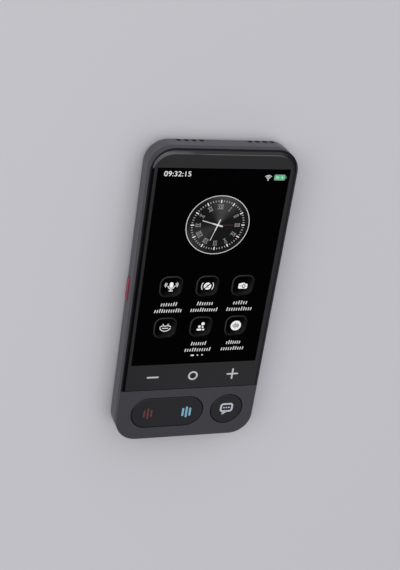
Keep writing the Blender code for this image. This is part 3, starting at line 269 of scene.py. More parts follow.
@dataclass(frozen=True)
class Finish:
    """One surface finish. A subclass says what its material's nodes are."""

    name: str
    colour: Colour
    roughness: float = 0.5

    def fields(self, graph: Graph) -> dict[str, Any]:
        """What the shader's sockets get, each a number, a colour or a varying value."""
        raise NotImplementedError

    def tones(self, graph: Graph, factor: Value, low: float, high: float = 1.0) -> Value:
        """The colour between two shares of its strength, the low one at factor zero."""
        return graph.mix(factor, dimmed(self.colour, low), dimmed(self.colour, high))

    def material(self) -> bpy.types.Material:
        """Makes the material once, and gives the same one for later pieces.

        Returns:
            The material.
        """
        made = bpy.data.materials.get(self.name)
        if made is None:
            made = bpy.data.materials.new(self.name)
            graph = Graph(made)
            shader = graph.node("ShaderNodeBsdfPrincipled", None, self.fields(graph))
            graph.node("ShaderNodeOutputMaterial", None, {"Surface": shader})
            made.diffuse_color = (*self.colour, 1.0)
        return made


@dataclass(frozen=True)
class MouldedPlastic(Finish):
    """Plastic from a fine-textured mould, a little polished by handling in broad patches."""

    grain: float = 0.00022
    pit_share: float = 1.7
    depth: float = 0.000004
    patch: float = 0.02
    mottle: float = 0.06
    handling: float = 0.05
    graininess: float = 0.04
    specular: float = 0.5

    def fields(self, graph: Graph) -> dict[str, Any]:
        """Grain in the normal, and slow changes of tone and roughness.

        Args:
            graph: The material's nodes.

        Returns:
            What the shader's sockets get.
        """
        broad, fine = graph.noise(self.patch, 3.0), graph.noise(self.grain)
        pits = graph.cells(self.grain * self.pit_share)
        tone = broad * 0.6 + fine * 0.4
        return {
            "Base Color": self.tones(graph, tone, 1 - self.mottle, 1 + self.mottle),
            "Roughness": self.roughness + (broad - 0.5) * self.handling + (fine - 0.5) * self.graininess,
            "Specular IOR Level": self.specular,
            "Normal": graph.bump(fine * 0.55 + pits * 0.45, self.depth),
        }


@dataclass(frozen=True)
class GapShadeRubber(MouldedPlastic):
    """Dark rubber, with painted light that makes it paler along the right side."""

    right_side_light: Colour = (0.03, 0.03, 0.033)
    right_light_from: float = 0.0272
    right_light_to: float = 0.0286

    def fields(self, graph: Graph) -> dict[str, Any]:
        """The dark rubber, with painted light that makes it paler at the right.

        Args:
            graph: The material's nodes.

        Returns:
            What the shader's sockets get.
        """
        made = super().fields(graph)
        # Painted light: the colour turns paler across the right side.
        across = graph.axes()[0].between(self.right_light_from, self.right_light_to)
        return {**made, "Base Color": graph.mix(across, made["Base Color"], self.right_side_light)}


@dataclass(frozen=True)
class InkedGlass(Finish):
    """Glass with a dark print behind its flat, a darker print behind its edge that also paints shade along
    the gap, and with a ground wall.
    """

    edge_shade: Colour = (0.002, 0.002, 0.0022)
    half_width: float = 0.0
    top: float = 0.0
    corner: float = 0.0
    ink_fade: float = 0.00012
    speckle: float = 0.00006
    smudge: float = 0.011
    streak: float = 0.006
    streak_scale: Triple = (1.0, 0.12, 1.0)
    streak_turn: Triple = (0.0, 0.0, 0.6)
    wall_top: float = 0.0
    ground_roughness: float = 0.6
    index: float = 1.5

    def fields(self, graph: Graph) -> dict[str, Any]:
        """The print's rounded outline, with painted shade beyond it, speckled ink, and faint smudges in the
        roughness.

        Args:
            graph: The material's nodes.

        Returns:
            What the shader's sockets get.
        """
        x, y, z = graph.axes()
        over_x = graph.math("MAXIMUM", x.size() - (self.half_width - self.corner), 0.0)
        over_y = graph.math("MAXIMUM", y - (self.top - self.corner), 0.0)
        from_corner = graph.math("SQRT", over_x ** 2.0 + over_y ** 2.0)
        outside = from_corner.between(self.corner - self.ink_fade, self.corner + self.ink_fade)
        ink = self.tones(graph, graph.noise(self.speckle, 1.0), 1.0, 1.25)
        smudge = graph.noise(self.smudge, 4.0).between(0.45, 0.75)
        streak = graph.noise(self.streak, 2.0, graph.stretched(self.streak_scale, self.streak_turn))
        ground = z < self.wall_top
        return {
            # Beyond the outline the colour turns darker: print and painted shade along the glass's edge.
            "Base Color": graph.mix(outside, ink, self.edge_shade),
            "Roughness": self.roughness + smudge * 0.035 + streak * 0.02 + ground * self.ground_roughness,
            "IOR": self.index,
        }


@dataclass(frozen=True)
class BlackScreen(Finish):
    """The dark of the screen under its anti-reflection layer."""

    cell: float = 0.00016
    smudge: float = 0.013
    specular: float = 0.01

    def fields(self, graph: Graph) -> dict[str, Any]:
        """Nearly black cells, and the same faint smudges as the glass.

        Args:
            graph: The material's nodes.

        Returns:
            What the shader's sockets get.
        """
        smudge = graph.noise(self.smudge, 3.0).between(0.45, 0.8)
        return {
            "Base Color": self.tones(graph, graph.noise(self.cell, 1.0), 1.0, 1.5),
            "Roughness": self.roughness + smudge * 0.05,
            "Specular IOR Level": self.specular,
        }


@dataclass(frozen=True)
class LitPixels(Finish):
    """A lit part of the screen's picture, drawn in the screen's own fine rows and columns."""

    pitch: float = 0.00008
    gap: float = 0.12
    specular: float = 0.01

    def fields(self, graph: Graph) -> dict[str, Any]:
        """Light that dips a little between the pixels.

        Args:
            graph: The material's nodes.

        Returns:
            What the shader's sockets get.
        """
        x, y, _ = graph.axes()
        edge = graph.math("MAXIMUM", x.from_middle(self.pitch), y.from_middle(self.pitch))
        return {
            "Base Color": BLACK,
            "Roughness": self.roughness,
            "Specular IOR Level": self.specular,
            "Emission Color": self.tones(graph, edge.between(0.38, 0.5), 1.0, 1 - self.gap),
            "Emission Strength": 1.0,
        }


@dataclass(frozen=True)
class LitArea(Finish):
    """A lit area whose brightness varies over it. A subclass says how."""

    centre: Spot = (0.0, 0.0)
    reach: float = 0.01
    surface: Colour = (0.001, 0.001, 0.001)
    specular: float = 0.01

    def light(self, graph: Graph, across: Value, up: Value) -> Value:
        """The brightness, from zero to one, at a place counted from the centre in reaches."""
        raise NotImplementedError

    def fields(self, graph: Graph) -> dict[str, Any]:
        """The varying light on a nearly black surface.

        Args:
            graph: The material's nodes.

        Returns:
            What the shader's sockets get.
        """
        x, y, _ = graph.axes()
        light = self.light(graph, (x - self.centre[0]) / self.reach, (y - self.centre[1]) / self.reach)
        return {
            "Base Color": graph.mix(light, BLACK, self.surface),
            "Roughness": self.roughness,
            "Specular IOR Level": self.specular,
            "Emission Color": graph.mix(light, BLACK, self.colour),
            "Emission Strength": 1.0,
        }


@dataclass(frozen=True)
class DialFace(LitArea):
    """The clock's dark face, lighter in fans. Each has a bearing, half its angle and its strength."""

    fans: tuple[Triple, ...] = ((80.0, 55.0, 0.8), (215.0, 50.0, 0.42))
    least: float = 0.16

    def light(self, graph: Graph, across: Value, up: Value) -> Value:
        """Soft fans of light that fade out from their middle lines.

        Args:
            graph: The material's nodes.
            across: How far right of the centre a place is.
            up: How far above the centre it is.

        Returns:
            The brightness there.
        """
        total = self.least
        for bearing, spread, strength in self.fans:
            cosine, sine = math.cos(math.radians(bearing)), math.sin(math.radians(bearing))
            side = (up * cosine - across * sine).size()
            off = graph.math("ARCTAN2", side, across * cosine + up * sine) / math.radians(spread)
            total = (1 - off.between(0.0, 1.0)) * strength + total
        return total


@dataclass(frozen=True)
class TileFace(LitArea):
    """A tile's glassy face, with a faint sheen that grows towards its lower right."""

    def light(self, graph: Graph, across: Value, up: Value) -> Value:
        """The sheen, and a paler line along the sides."""
        reach = graph.math("MAXIMUM", across.size(), up.size())
        lower = (across - up).between(-0.6, 2.0)
        return lower * reach.between(-0.3, 0.9) * 0.62 + reach.between(0.6, 1.05) * 0.1


@dataclass(frozen=True)
class TileBorder(LitArea):
    """A tile's border, brightest at its upper left."""

    def light(self, graph: Graph, across: Value, up: Value) -> Value:
        """Light that fades from the upper left to the lower right."""
        return (up - across).between(-1.3, 1.7) * 0.9 + 0.1


@dataclass(frozen=True)
class GlowingMark(Finish):
    """A mark moulded into a key, lit from behind through milky plastic."""

    glow: Colour = BLACK
    cloud: float = 0.0012
    mottle: float = 0.12

    def fields(self, graph: Graph) -> dict[str, Any]:
        """Light that is a little uneven along the mark.

        Args:
            graph: The material's nodes.

        Returns:
            What the shader's sockets get.
        """
        cloud = graph.noise(self.cloud)
        dim, bright = dimmed(self.glow, 1 - self.mottle), dimmed(self.glow, 1 + self.mottle)
        return {
            "Base Color": self.tones(graph, cloud, 0.92),
            "Roughness": self.roughness + cloud * 0.05,
            "Emission Color": graph.mix(cloud, dim, bright),
            "Emission Strength": 1.0,
        }


@dataclass(frozen=True)
class Metal(Finish):
    """Rolled or turned metal, with fine marks along or round one direction."""

    scale: Triple = (1.0, 0.04, 1.0)
    mark: float = 0.00008
    patch: float = 0.0028
    depth: float = 0.000002
    tarnish: float = 0.12

    def fields(self, graph: Graph) -> dict[str, Any]:
        """Drawn-out marks, and patches that are duller.

        Args:
            graph: The material's nodes.

        Returns:
            What the shader's sockets get.
        """
        marks = graph.noise(self.mark, 2.0, graph.stretched(self.scale))
        patch = graph.noise(self.patch, 3.0)
        return {
            "Base Color": self.tones(graph, patch * 0.7 + marks * 0.3, 1 - self.tarnish),
            "Metallic": 1.0,
            "Roughness": self.roughness + (marks - 0.5) * 0.12 + (patch - 0.5) * 0.08,
            "Normal": graph.bump(marks, self.depth),
        }


@dataclass(frozen=True)
class SolderMask(Finish):
    """A lacquered circuit board with fine copper lines under the lacquer and tinned pads through it."""

    line: Colour = (0.035, 0.15, 0.06)
    pad: Colour = (0.62, 0.56, 0.36)
    pitch: float = 0.0007
    line_share: float = 0.14
    zone: float = 0.0034
    pad_pitch: float = 0.0016
    cloud: float = 0.004
    depth: float = 0.00002

    def fields(self, graph: Graph) -> dict[str, Any]:
        """Lines in both directions, broken into runs, and scattered pads.

        Args:
            graph: The material's nodes.

        Returns:
            What the shader's sockets get.
        """
        x, y, _ = graph.axes()
        zone = graph.noise(self.zone, 0.0)
        across = (x.from_middle(self.pitch) < self.line_share) * (zone > 0.53)
        along = (y.from_middle(self.pitch) < self.line_share) * (zone < 0.47)
        lines, pads = across + along, graph.cells(self.pad_pitch) < 0.11
        return {
            "Base Color": graph.mix(pads, graph.mix(lines, self.colour, self.line), self.pad),
            "Metallic": pads * 0.9,
            "Roughness": self.roughness - lines * 0.06 + graph.noise(self.cloud) * 0.1,
            "Normal": graph.bump(lines * 0.6 + pads * 0.4, self.depth),
        }


@dataclass(frozen=True)
class TrackedFilm(Finish):
    """Amber film with copper tracks that run along it."""

    track: Colour = (0.5, 0.24, 0.07)
    pitch: float = 0.0006
    cloud: float = 0.003
    depth: float = 0.00002

    def fields(self, graph: Graph) -> dict[str, Any]:
        """Even tracks, slightly raised.

        Args:
            graph: The material's nodes.

        Returns:
            What the shader's sockets get.
        """
        tracks = 1 - graph.axes()[0].from_middle(self.pitch).between(0.22, 0.3)
        return {
            "Base Color": graph.mix(tracks, self.colour, self.track),
            "Roughness": self.roughness + graph.noise(self.cloud) * 0.12,
            "Normal": graph.bump(tracks, self.depth),
        }


@dataclass(frozen=True)
class CrinkledFoil(Finish):
    """The laminated foil of a pouch cell, with soft dents and crinkles."""

    dent: float = 0.009
    crinkle: float = 0.0035
    depth: float = 0.0001

    def fields(self, graph: Graph) -> dict[str, Any]:
        """Wide dents and finer crinkles.

        Args:
            graph: The material's nodes.

        Returns:
            What the shader's sockets get.
        """
        dents = graph.noise(self.dent, 3.0)
        crinkles = graph.cells(self.crinkle, "DISTANCE_TO_EDGE").between(0.0, 0.2)
        return {
            "Base Color": self.tones(graph, dents, 0.8),
            "Metallic": 0.6,
            "Roughness": self.roughness + dents * 0.15,
            "Normal": graph.bump(dents * 0.7 + crinkles * 0.3, self.depth),
        }


@dataclass(frozen=True)
class Resin(Finish):
    """Black moulding resin with a sandy surface."""

    grain: float = 0.00012
    cloud: float = 0.002
    depth: float = 0.000006

    def fields(self, graph: Graph) -> dict[str, Any]:
        """Sandy grain.

        Args:
            graph: The material's nodes.

        Returns:
            What the shader's sockets get.
        """
        sand = graph.noise(self.grain)
        return {
            "Base Color": self.tones(graph, graph.noise(self.cloud), 0.75),
            "Roughness": self.roughness + (sand - 0.5) * 0.2,
            "Normal": graph.bump(sand, self.depth),
        }


@dataclass(frozen=True)
class Foam(Finish):
    """Open black foam tape."""

    cell: float = 0.0004
    stops: tuple[Spot, ...] = ((0.1, 0.0), (0.6, 1.0))
    depth: float = 0.00012

    def fields(self, graph: Graph) -> dict[str, Any]:
        """Round open cells.

        Args:
            graph: The material's nodes.

        Returns:
            What the shader's sockets get.
        """
        walls = graph.node("ShaderNodeValToRGB", {"stops": self.stops}, {"Fac": graph.cells(self.cell)})
        return {
            "Base Color": self.tones(graph, walls, 0.35),
            "Roughness": self.roughness,
            "Normal": graph.bump(walls, self.depth),
        }


@dataclass(frozen=True)
class AcousticCloth(Finish):
    """Fine black cloth in a plain weave, in the plane of the top wall."""

    thread: float = 0.00016
    specular: float = 0.08
    depth: float = 0.00004

    def fields(self, graph: Graph) -> dict[str, Any]:
        """Threads over and under each other.

        Args:
            graph: The material's nodes.

        Returns:
            What the shader's sockets get.
        """
        x, _, z = graph.axes()
        warp, weft = (graph.math("SINE", axis * (2 * math.pi / self.thread)) for axis in (x, z))
        weave = (warp * weft + 1) * 0.5
        return {
            "Base Color": self.tones(graph, weave, 0.4),
            "Roughness": self.roughness,
            "Specular IOR Level": self.specular,
            "Normal": graph.bump(weave, self.depth),
        }


@dataclass(frozen=True)
class MilkyPlastic(Finish):
    """Translucent moulded plastic that carries light."""

    cloud: float = 0.0025
    scatter: float = 0.0008

    def fields(self, graph: Graph) -> dict[str, Any]:
        """Faint clouds and flow lines.

        Args:
            graph: The material's nodes.

        Returns:
            What the shader's sockets get.
        """
        cloud = graph.noise(self.cloud, 3.0)
        return {
            "Base Color": self.tones(graph, cloud, 0.85),
            "Roughness": self.roughness + (cloud - 0.5) * 0.15,
            "Subsurface Weight": 0.4,
            "Subsurface Scale": self.scatter,
            "Transmission Weight": 0.15,
        }


@dataclass(frozen=True)
class CoatedLens(Finish):
    """Dark lens glass with a coloured coating that shows in rings from its middle."""

    centre: Spot = (0.0, 0.0)
    ring: Colour = (0.01, 0.012, 0.035)
    radius: float = 0.002
    rings: float = 9.0
    haze: float = 0.002
    index: float = 1.7

    def fields(self, graph: Graph) -> dict[str, Any]:
        """Rings of tint round the lens's axis.

        Args:
            graph: The material's nodes.

        Returns:
            What the shader's sockets get.
        """
        x, y, _ = graph.axes()
        reach = graph.math("SQRT", (x - self.centre[0]) ** 2.0 + (y - self.centre[1]) ** 2.0)
        wave = graph.math("SINE", reach / self.radius * self.rings) * 0.5 + 0.5
        return {
            "Base Color": graph.mix(wave, self.colour, self.ring),
            "Roughness": self.roughness + graph.noise(self.haze) * 0.02,
            "IOR": self.index,
            "Coat Weight": 0.6,
            "Coat Tint": (0.7, 0.75, 1.0),
        }


@dataclass(frozen=True)
class StudioFloor(Finish):
    """A plain pale floor with a matt, slightly uneven coat."""

    cloud: float = 0.4
    grain: float = 0.01

    def fields(self, graph: Graph) -> dict[str, Any]:
        """Almost even paint.

        Args:
            graph: The material's nodes.

        Returns:
            What the shader's sockets get.
        """
        return {
            "Base Color": self.tones(graph, graph.noise(self.cloud), 1.0, 1.004),
            "Roughness": self.roughness + graph.noise(self.grain) * 0.05,
            "Specular IOR Level": 0.0,
        }


@dataclass(frozen=True)
class Box:
    """The space between a lowest and a highest corner."""

    low: Vector
    high: Vector

    @classmethod
    def of(cls, node: str) -> "Box":
        """The space that a CAD node takes up at rest."""
        low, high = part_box(node)
        return cls(Vector(low), Vector(high))

    @classmethod
    def around(cls, centre: Sequence[float], size: Sequence[float]) -> "Box":
        """The box of a size round a centre."""
        return cls(Vector(centre) - Vector(size) / 2, Vector(centre) + Vector(size) / 2)

    @property
    def centre(self) -> Vector:
        """The middle of the box."""
        return (self.low + self.high) / 2

    @property
    def size(self) -> Vector:
        """The box's length along each axis."""
        return self.high - self.low

    def grown(self, x: float = 0.0, y: float = 0.0, z: float = 0.0) -> "Box":
        """The box with each side moved outwards."""
        reach = Vector((x, y, z))
        return Box(self.low - reach, self.high + reach)

    def between(self, axis: int, low: float, high: float) -> "Box":
        """The box with other ends on one axis."""
        first, last = self.low.copy(), self.high.copy()
        first[axis], last[axis] = low, high
        return Box(first, last)


class Solid:
    """A closed shape that is modelled with bmesh operators."""

    def __init__(self, bm: bmesh.types.BMesh | None = None) -> None:
        """Starts empty, or with a shape."""
        self.bm = bmesh.new() if bm is None else bm

    @classmethod
    def block(cls, box: Box) -> "Solid":
        """A block that fills a box.

        Args:
            box: The box.

        Returns:
            The block.
        """
        solid = cls()
        bmesh.ops.create_cube(solid.bm, size=1.0)
        bmesh.ops.scale(solid.bm, vec=box.size, verts=solid.bm.verts)
        bmesh.ops.translate(solid.bm, vec=box.centre, verts=solid.bm.verts)
        return solid

    @classmethod
    def arched(cls, box: Box, radius: float) -> "Solid":
        """A block whose upright edges are round at its top end."""
        return cls.block(box).round_along(2, radius, wanted=lambda middle: middle.y > 0)

    @classmethod
    def turned(cls, profile: Sequence[Spot], centre: Sequence[float], axis: int = 2,
               steps: int = TURN_STEPS) -> "Solid":
        """A shape turned about an axis.

        Args:
            profile: Radius and height of each corner, from the axis round the section and back to it.
            centre: The place that heights are counted from.
            axis: The axis that the shape is turned about, and along which heights run.
            steps: How many facets go round.

        Returns:
            The solid.
        """
        solid = cls()
        row = [solid.bm.verts.new((radius, 0, height)) for radius, height in profile]
        edges = [solid.bm.edges.new(pair) for pair in zip(row, row[1:])]
        if profile[0][0] > MERGE:
            edges.append(solid.bm.edges.new((row[-1], row[0])))
        bmesh.ops.spin(
            solid.bm, geom=row + edges, cent=(0, 0, 0), axis=(0, 0, 1), angle=2 * math.pi, steps=steps,
            use_merge=True, use_duplicate=False,
        )
        turn = Matrix.Rotation(-math.pi / 2, 4, "X") if axis == 1 else Matrix()
        solid.bm.transform(Matrix.Translation(Vector(centre)) @ turn)
        return solid

    @classmethod
    def rod(cls, radius: float, ends: Spot, centre: Sequence[float], axis: int = 2,
            steps: int = TURN_STEPS // 2) -> "Solid":
        """A round rod along an axis, between a low and a high end counted from a centre."""
        low, high = ends
        return cls.turned([(0, high), (radius, high), (radius, low), (0, low)], centre, axis, steps)

    def round(self, edges: Iterable[bmesh.types.BMEdge], radius: float, steps: int) -> "Solid":
        """Rounds some edges.

        Args:
            edges: The edges.
            radius: The radius of the round.
            steps: How many facets it gets.

        Returns:
            The same solid.
        """
        bmesh.ops.bevel(
            self.bm, geom=list(edges), offset=radius, offset_type="OFFSET", segments=steps, profile=0.5,
            affect="EDGES", material=-1, clamp_overlap=False,
        )
        bmesh.ops.remove_doubles(self.bm, verts=self.bm.verts, dist=MERGE)
        return self

    def round_along(self, axis: int, radius: float, steps: int = CORNER_STEPS,
                    wanted: Callable[[Vector], bool] = lambda middle: True) -> "Solid":
        """Rounds the edges that run along an axis.

        Args:
            axis: The axis that the edges follow.
            radius: The radius of the round.
            steps: How many facets it gets.
            wanted: Says from an edge's middle whether it is rounded.

        Returns:
            The same solid.
        """
        edges = []
        for edge in self.bm.edges:
            start, end = (corner.co for corner in edge.verts)
            run = end - start
            if abs(run[axis]) > 0.99 * run.length and wanted((start + end) / 2):
                edges.append(edge)
        return self.round(edges, radius, steps)

    def pill(self, axis: int, width: float, steps: int = CORNER_STEPS) -> "Solid":
        """Rounds the edges along an axis so far that a side of the given width is all round."""
        return self.round_along(axis, width / 2 - MERGE, steps)

    def round_level(self, axis: int, level: float, radius: float, steps: int = FINE_STEPS) -> "Solid":
        """Rounds the outline that lies at one level of an axis.

        Args:
            axis: The axis.
            level: The level of the outline on it.
            radius: The radius of the round.
            steps: How many facets it gets.

        Returns:
            The same solid.
        """
        edges = [
            edge for edge in self.bm.edges
            if all(abs(corner.co[axis] - level) < MERGE for corner in edge.verts)
        ]
        return self.round(edges, radius, steps)

    def tapered(self, axis: int, level: float, scale: Sequence[float]) -> "Solid":
        """Draws in the outline at one level of an axis about its middle."""
        corners = [corner for corner in self.bm.verts if abs(corner.co[axis] - level) < MERGE]
        middle = sum((corner.co for corner in corners), Vector()) / len(corners)
        bmesh.ops.scale(self.bm, vec=scale, verts=corners, space=Matrix.Translation(-middle))
        return self

    def trimmed(self, level: float, side: int) -> "Solid":
        """Cuts off what lies beyond a level of Y, on its side 1 or -1, and closes the cut.

        Args:
            level: The level.
            side: Which side of it goes.

        Returns:
            The same solid.
        """
        bmesh.ops.bisect_plane(
            self.bm, geom=self.bm.verts[:] + self.bm.edges[:] + self.bm.faces[:],
            plane_co=(0, level, 0), plane_no=(0, side, 0), clear_outer=True,
        )
        bmesh.ops.contextual_create(self.bm, geom=[edge for edge in self.bm.edges if edge.is_boundary])
        return self

    def added(self, other: "Solid") -> "Solid":
        """Puts a separate solid into this one's mesh."""
        absorb(self.bm, other.bm)
        return self

    def mesh(self, name: str) -> bpy.types.Mesh:
        """Cleans the shape and turns it into a mesh."""
        bmesh.ops.remove_doubles(self.bm, verts=self.bm.verts, dist=MERGE)
        bmesh.ops.recalc_face_normals(self.bm, faces=self.bm.faces)
        return meshed(name, self.bm)

    def worked(self, operation: str, tools: Sequence["Solid"]) -> "Solid":
        """Cuts or joins this solid with others.

        Args:
            operation: DIFFERENCE or UNION.
            tools: The other solids, which are used up.

        Returns:
            The new solid.
        """
        target = placed("target", self.mesh("target"))
        spares = [target]
        for tool in tools:
            spares.append(placed("tool", tool.mesh("tool")))
            modifier = target.modifiers.new("work", "BOOLEAN")
            modifier.operation = operation
            modifier.object = spares[-1]
            modifier.solver = "EXACT"
        bpy.context.view_layer.update()
        evaluated = target.evaluated_get(bpy.context.evaluated_depsgraph_get())
        result = Solid()
        result.bm.from_mesh(evaluated.to_mesh())
        evaluated.to_mesh_clear()
        for item in spares:
            mesh = item.data
            bpy.data.objects.remove(item, do_unlink=True)
            bpy.data.meshes.remove(mesh)
        bmesh.ops.remove_doubles(result.bm, verts=result.bm.verts, dist=MERGE)
        bmesh.ops.dissolve_degenerate(result.bm, edges=result.bm.edges, dist=MERGE)
        return result

    def cut(self, *tools: "Solid") -> "Solid":
        """This solid with others cut out of it."""
        return self.worked("DIFFERENCE", tools)

    def joined(self, *tools: "Solid") -> "Solid":
        """This solid and others as one."""
        return self.worked("UNION", tools)

    def piece(self, name: str, finish: Finish, slot: Slot, *replaced: str,
              body: Body = Body.HOUSING) -> None:
        """Ends the modelling: makes the piece, dresses it and hangs it on its body.

        Args:
            name: The piece's name.
            finish: Its finish.
            slot: The record's material slot. It is not used.
            replaced: The CAD nodes that it stands for.
            body: The body that it rides on.
        """
        mesh = self.mesh(name)
        mesh.shade_smooth()
        mesh.set_sharp_from_angle(angle=SMOOTH_ANGLE)
        mesh.materials.append(finish.material())
        item = placed(name, mesh)
        item.modifiers.new("flat_faces_lead", "WEIGHTED_NORMAL").keep_sharp = True
        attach(item, body.value)
        if replaced:
            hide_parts(*replaced)
        LOG.info("%s: %d faces on %s", name, len(mesh.polygons), body.value)


def opening(box: Box, axis: int, mouth: float, inward: float, flare: float, radius: float) -> Solid:
    """A cutter for a rounded opening whose mouth is broken by a small slope.

    Args:
        box: The opening, which runs past both faces of its wall.
        axis: The axis that it runs along.
        mouth: The level of the wall's outer face on that axis.
        inward: 1 or -1, the way into the wall.
        flare: How deep the mouth's slope goes. It starts twice as far out on each side.
        radius: The radius of the opening's corners.

    Returns:
        The cutter.
    """
    through = Solid.block(box).round_along(axis, radius, CORNER_STEPS // 2)
    reach = [2 * flare] * 3
    reach[axis] = 0.0
    wide = box.grown(*reach)
    ends = sorted((mouth - inward * flare, mouth + inward * flare))
    funnel = Solid.block(wide.between(axis, *ends)).round_along(axis, radius + 2 * flare, CORNER_STEPS // 2)
    scale = [1.0 if i == axis else box.size[i] / wide.size[i] for i in range(3)]
    return through.joined(funnel.tapered(axis, mouth + inward * flare, scale))


@dataclass(frozen=True)
class Patch:
    """A round part of the room with its own tone, whole up to one angle and gone beyond another."""

    towards: Triple
    whole: float
    gone: float
    colour: Colour


@dataclass(frozen=True)
class Softbox:
    """A soft rectangular lamp that faces the object, its width along X as far as it can be."""

    name: str
    towards: Triple
    distance: float
    size: Spot
    radiance: float
    tint: Colour = WHITE


@dataclass
class Studio:
    """The pale floor, the soft light and the camera."""

    place: Triple = (-0.1595, 0.2069, 0.3910)
    right: Triple = (0.9389, 0.1415, 0.3138)
    up: Triple = (0.0204, 0.8872, -0.4609)
    back: Triple = (-0.3436, 0.4392, 0.8301)
    lens: float = 75.05
    sensor: float = 36.0
    shift: float = 1 / 570
    nearest: float = 0.01
    floor_half: float = 4.0
    floor_drop: float = 0.00005
    floor_finish: Finish = StudioFloor("pale_floor", (0.594, 0.589, 0.592), 0.9)
    room: Colour = (0.26, 0.26, 0.272)
    horizon: Colour = (0.38, 0.38, 0.397)
    horizon_height: float = 0.35
    patches: tuple[Patch, ...] = (
        Patch((0.0, 0.88, 0.45), 25, 50, (1.3, 1.33, 1.5)),
        Patch((0.46, -0.46, 0.76), 12, 34, (0.48, 0.48, 0.5)),
        Patch((0.27, 0.0, 0.96), 10, 24, (0.95, 0.95, 0.98)),
        Patch((-0.14, -0.44, 0.89), 12, 28, (0.03, 0.03, 0.032)),
    )
    softboxes: tuple[Softbox, ...] = (
        Softbox("key_softbox", (-0.66, 0.36, 0.66), 2.5, (1.6, 1.6), 2.9),
        Softbox("overhead_softbox", (-0.004, -0.055, 1.0), 2.0, (1.42, 0.76), 1.85, (1.0, 0.98, 1.1)),
        Softbox("side_softbox", (0.45, -0.15, 1.0), 2.2, (0.3, 0.5), 2.2),
    )

    def build(self) -> None:
        """Makes the camera, the world, the lamps and the floor."""
        self.add_camera()
        self.light_world()
        for softbox in self.softboxes:
            self.add_lamp(softbox)
        self.add_floor()

    def add_camera(self) -> None:
        """Puts the camera where the photograph was taken from."""
        camera = bpy.data.cameras.new("camera")
        camera.lens = self.lens
        camera.sensor_width = self.sensor
        camera.shift_y = self.shift
        camera.clip_start = self.nearest
        item = placed("camera", camera)
        turn = Matrix((self.right, self.up, self.back)).transposed().to_4x4()
        item.matrix_world = Matrix.Translation(self.place) @ turn
        bpy.context.scene.camera = item

    def light_world(self) -> None:
        """A soft pale room, a little lighter near the floor, with its patches in turn over each other."""
        world = bpy.data.worlds.new("room")
        bpy.context.scene.world = world
        graph = Graph(world)
        towards = graph.node("ShaderNodeTexCoord", output="Generated")
        height = graph.axes(towards)[2]
        light = graph.mix(height.between(0.0, self.horizon_height), self.horizon, self.room)
        for patch in self.patches:
            inputs = {0: towards, 1: Vector(patch.towards).normalized()}
            cosine = graph.node("ShaderNodeVectorMath", {"operation": "DOT_PRODUCT"}, inputs, "Value")
            gone, whole = math.cos(math.radians(patch.gone)), math.cos(math.radians(patch.whole))
            light = graph.mix(cosine.between(gone, whole), light, patch.colour)
        shader = graph.node("ShaderNodeBackground", None, {"Color": light, "Strength": 1.0})
        graph.node("ShaderNodeOutputWorld", None, {"Surface": shader})

    def add_lamp(self, softbox: Softbox) -> None:
        """Adds one softbox.

        Args:
            softbox: Its place, size and strength.
        """
        lamp = bpy.data.lights.new(softbox.name, "AREA")
        lamp.shape = "RECTANGLE"
        lamp.size, lamp.size_y = softbox.size
        lamp.energy = softbox.radiance * math.pi * softbox.size[0] * softbox.size[1]
        lamp.color = softbox.tint
        out = Vector(softbox.towards).normalized()
        up = out.cross(Vector((1, 0, 0))).normalized()
        turn = Matrix((up.cross(out), up, out)).transposed().to_4x4()
        placed(softbox.name, lamp).matrix_world = Matrix.Translation(out * softbox.distance) @ turn

    def add_floor(self) -> None:
        """Lays the floor just under the object."""
        bm = bmesh.new()
        bmesh.ops.create_grid(bm, x_segments=1, y_segments=1, size=self.floor_half)
        bmesh.ops.translate(bm, vec=(0, 0, -self.floor_drop), verts=bm.verts)
        floor = placed("floor", meshed("floor", bm))
        floor.data.materials.append(self.floor_finish.material())


@dataclass
class Housing:
    """What both shells share: the body's outline and the room inside it."""

    corner: float = 0.009
    wall: float = 0.0015
    lip: float = 0.0008
    gap: float = 0.0003
    overrun: float = 0.002
    embed: float = 0.0003
    edge_break: float = 0.00012

    @property
    def outline(self) -> Box:
        """The body's outer sides, without the red key."""
        return Box.of("front_frame")

    def plan(self, inset: float, low: float, high: float) -> Solid:
        """A block that stays so far inside the outline, between two levels, with matching round corners."""
        box = self.outline.grown(-inset, -inset).between(2, low, high)
        return Solid.block(box).round_along(2, self.corner - inset)

    def screws(self) -> list[Box]:
        """The boards' screws."""
        return [Box.of(name) for name in sorted(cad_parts) if name.startswith("board_screw")]


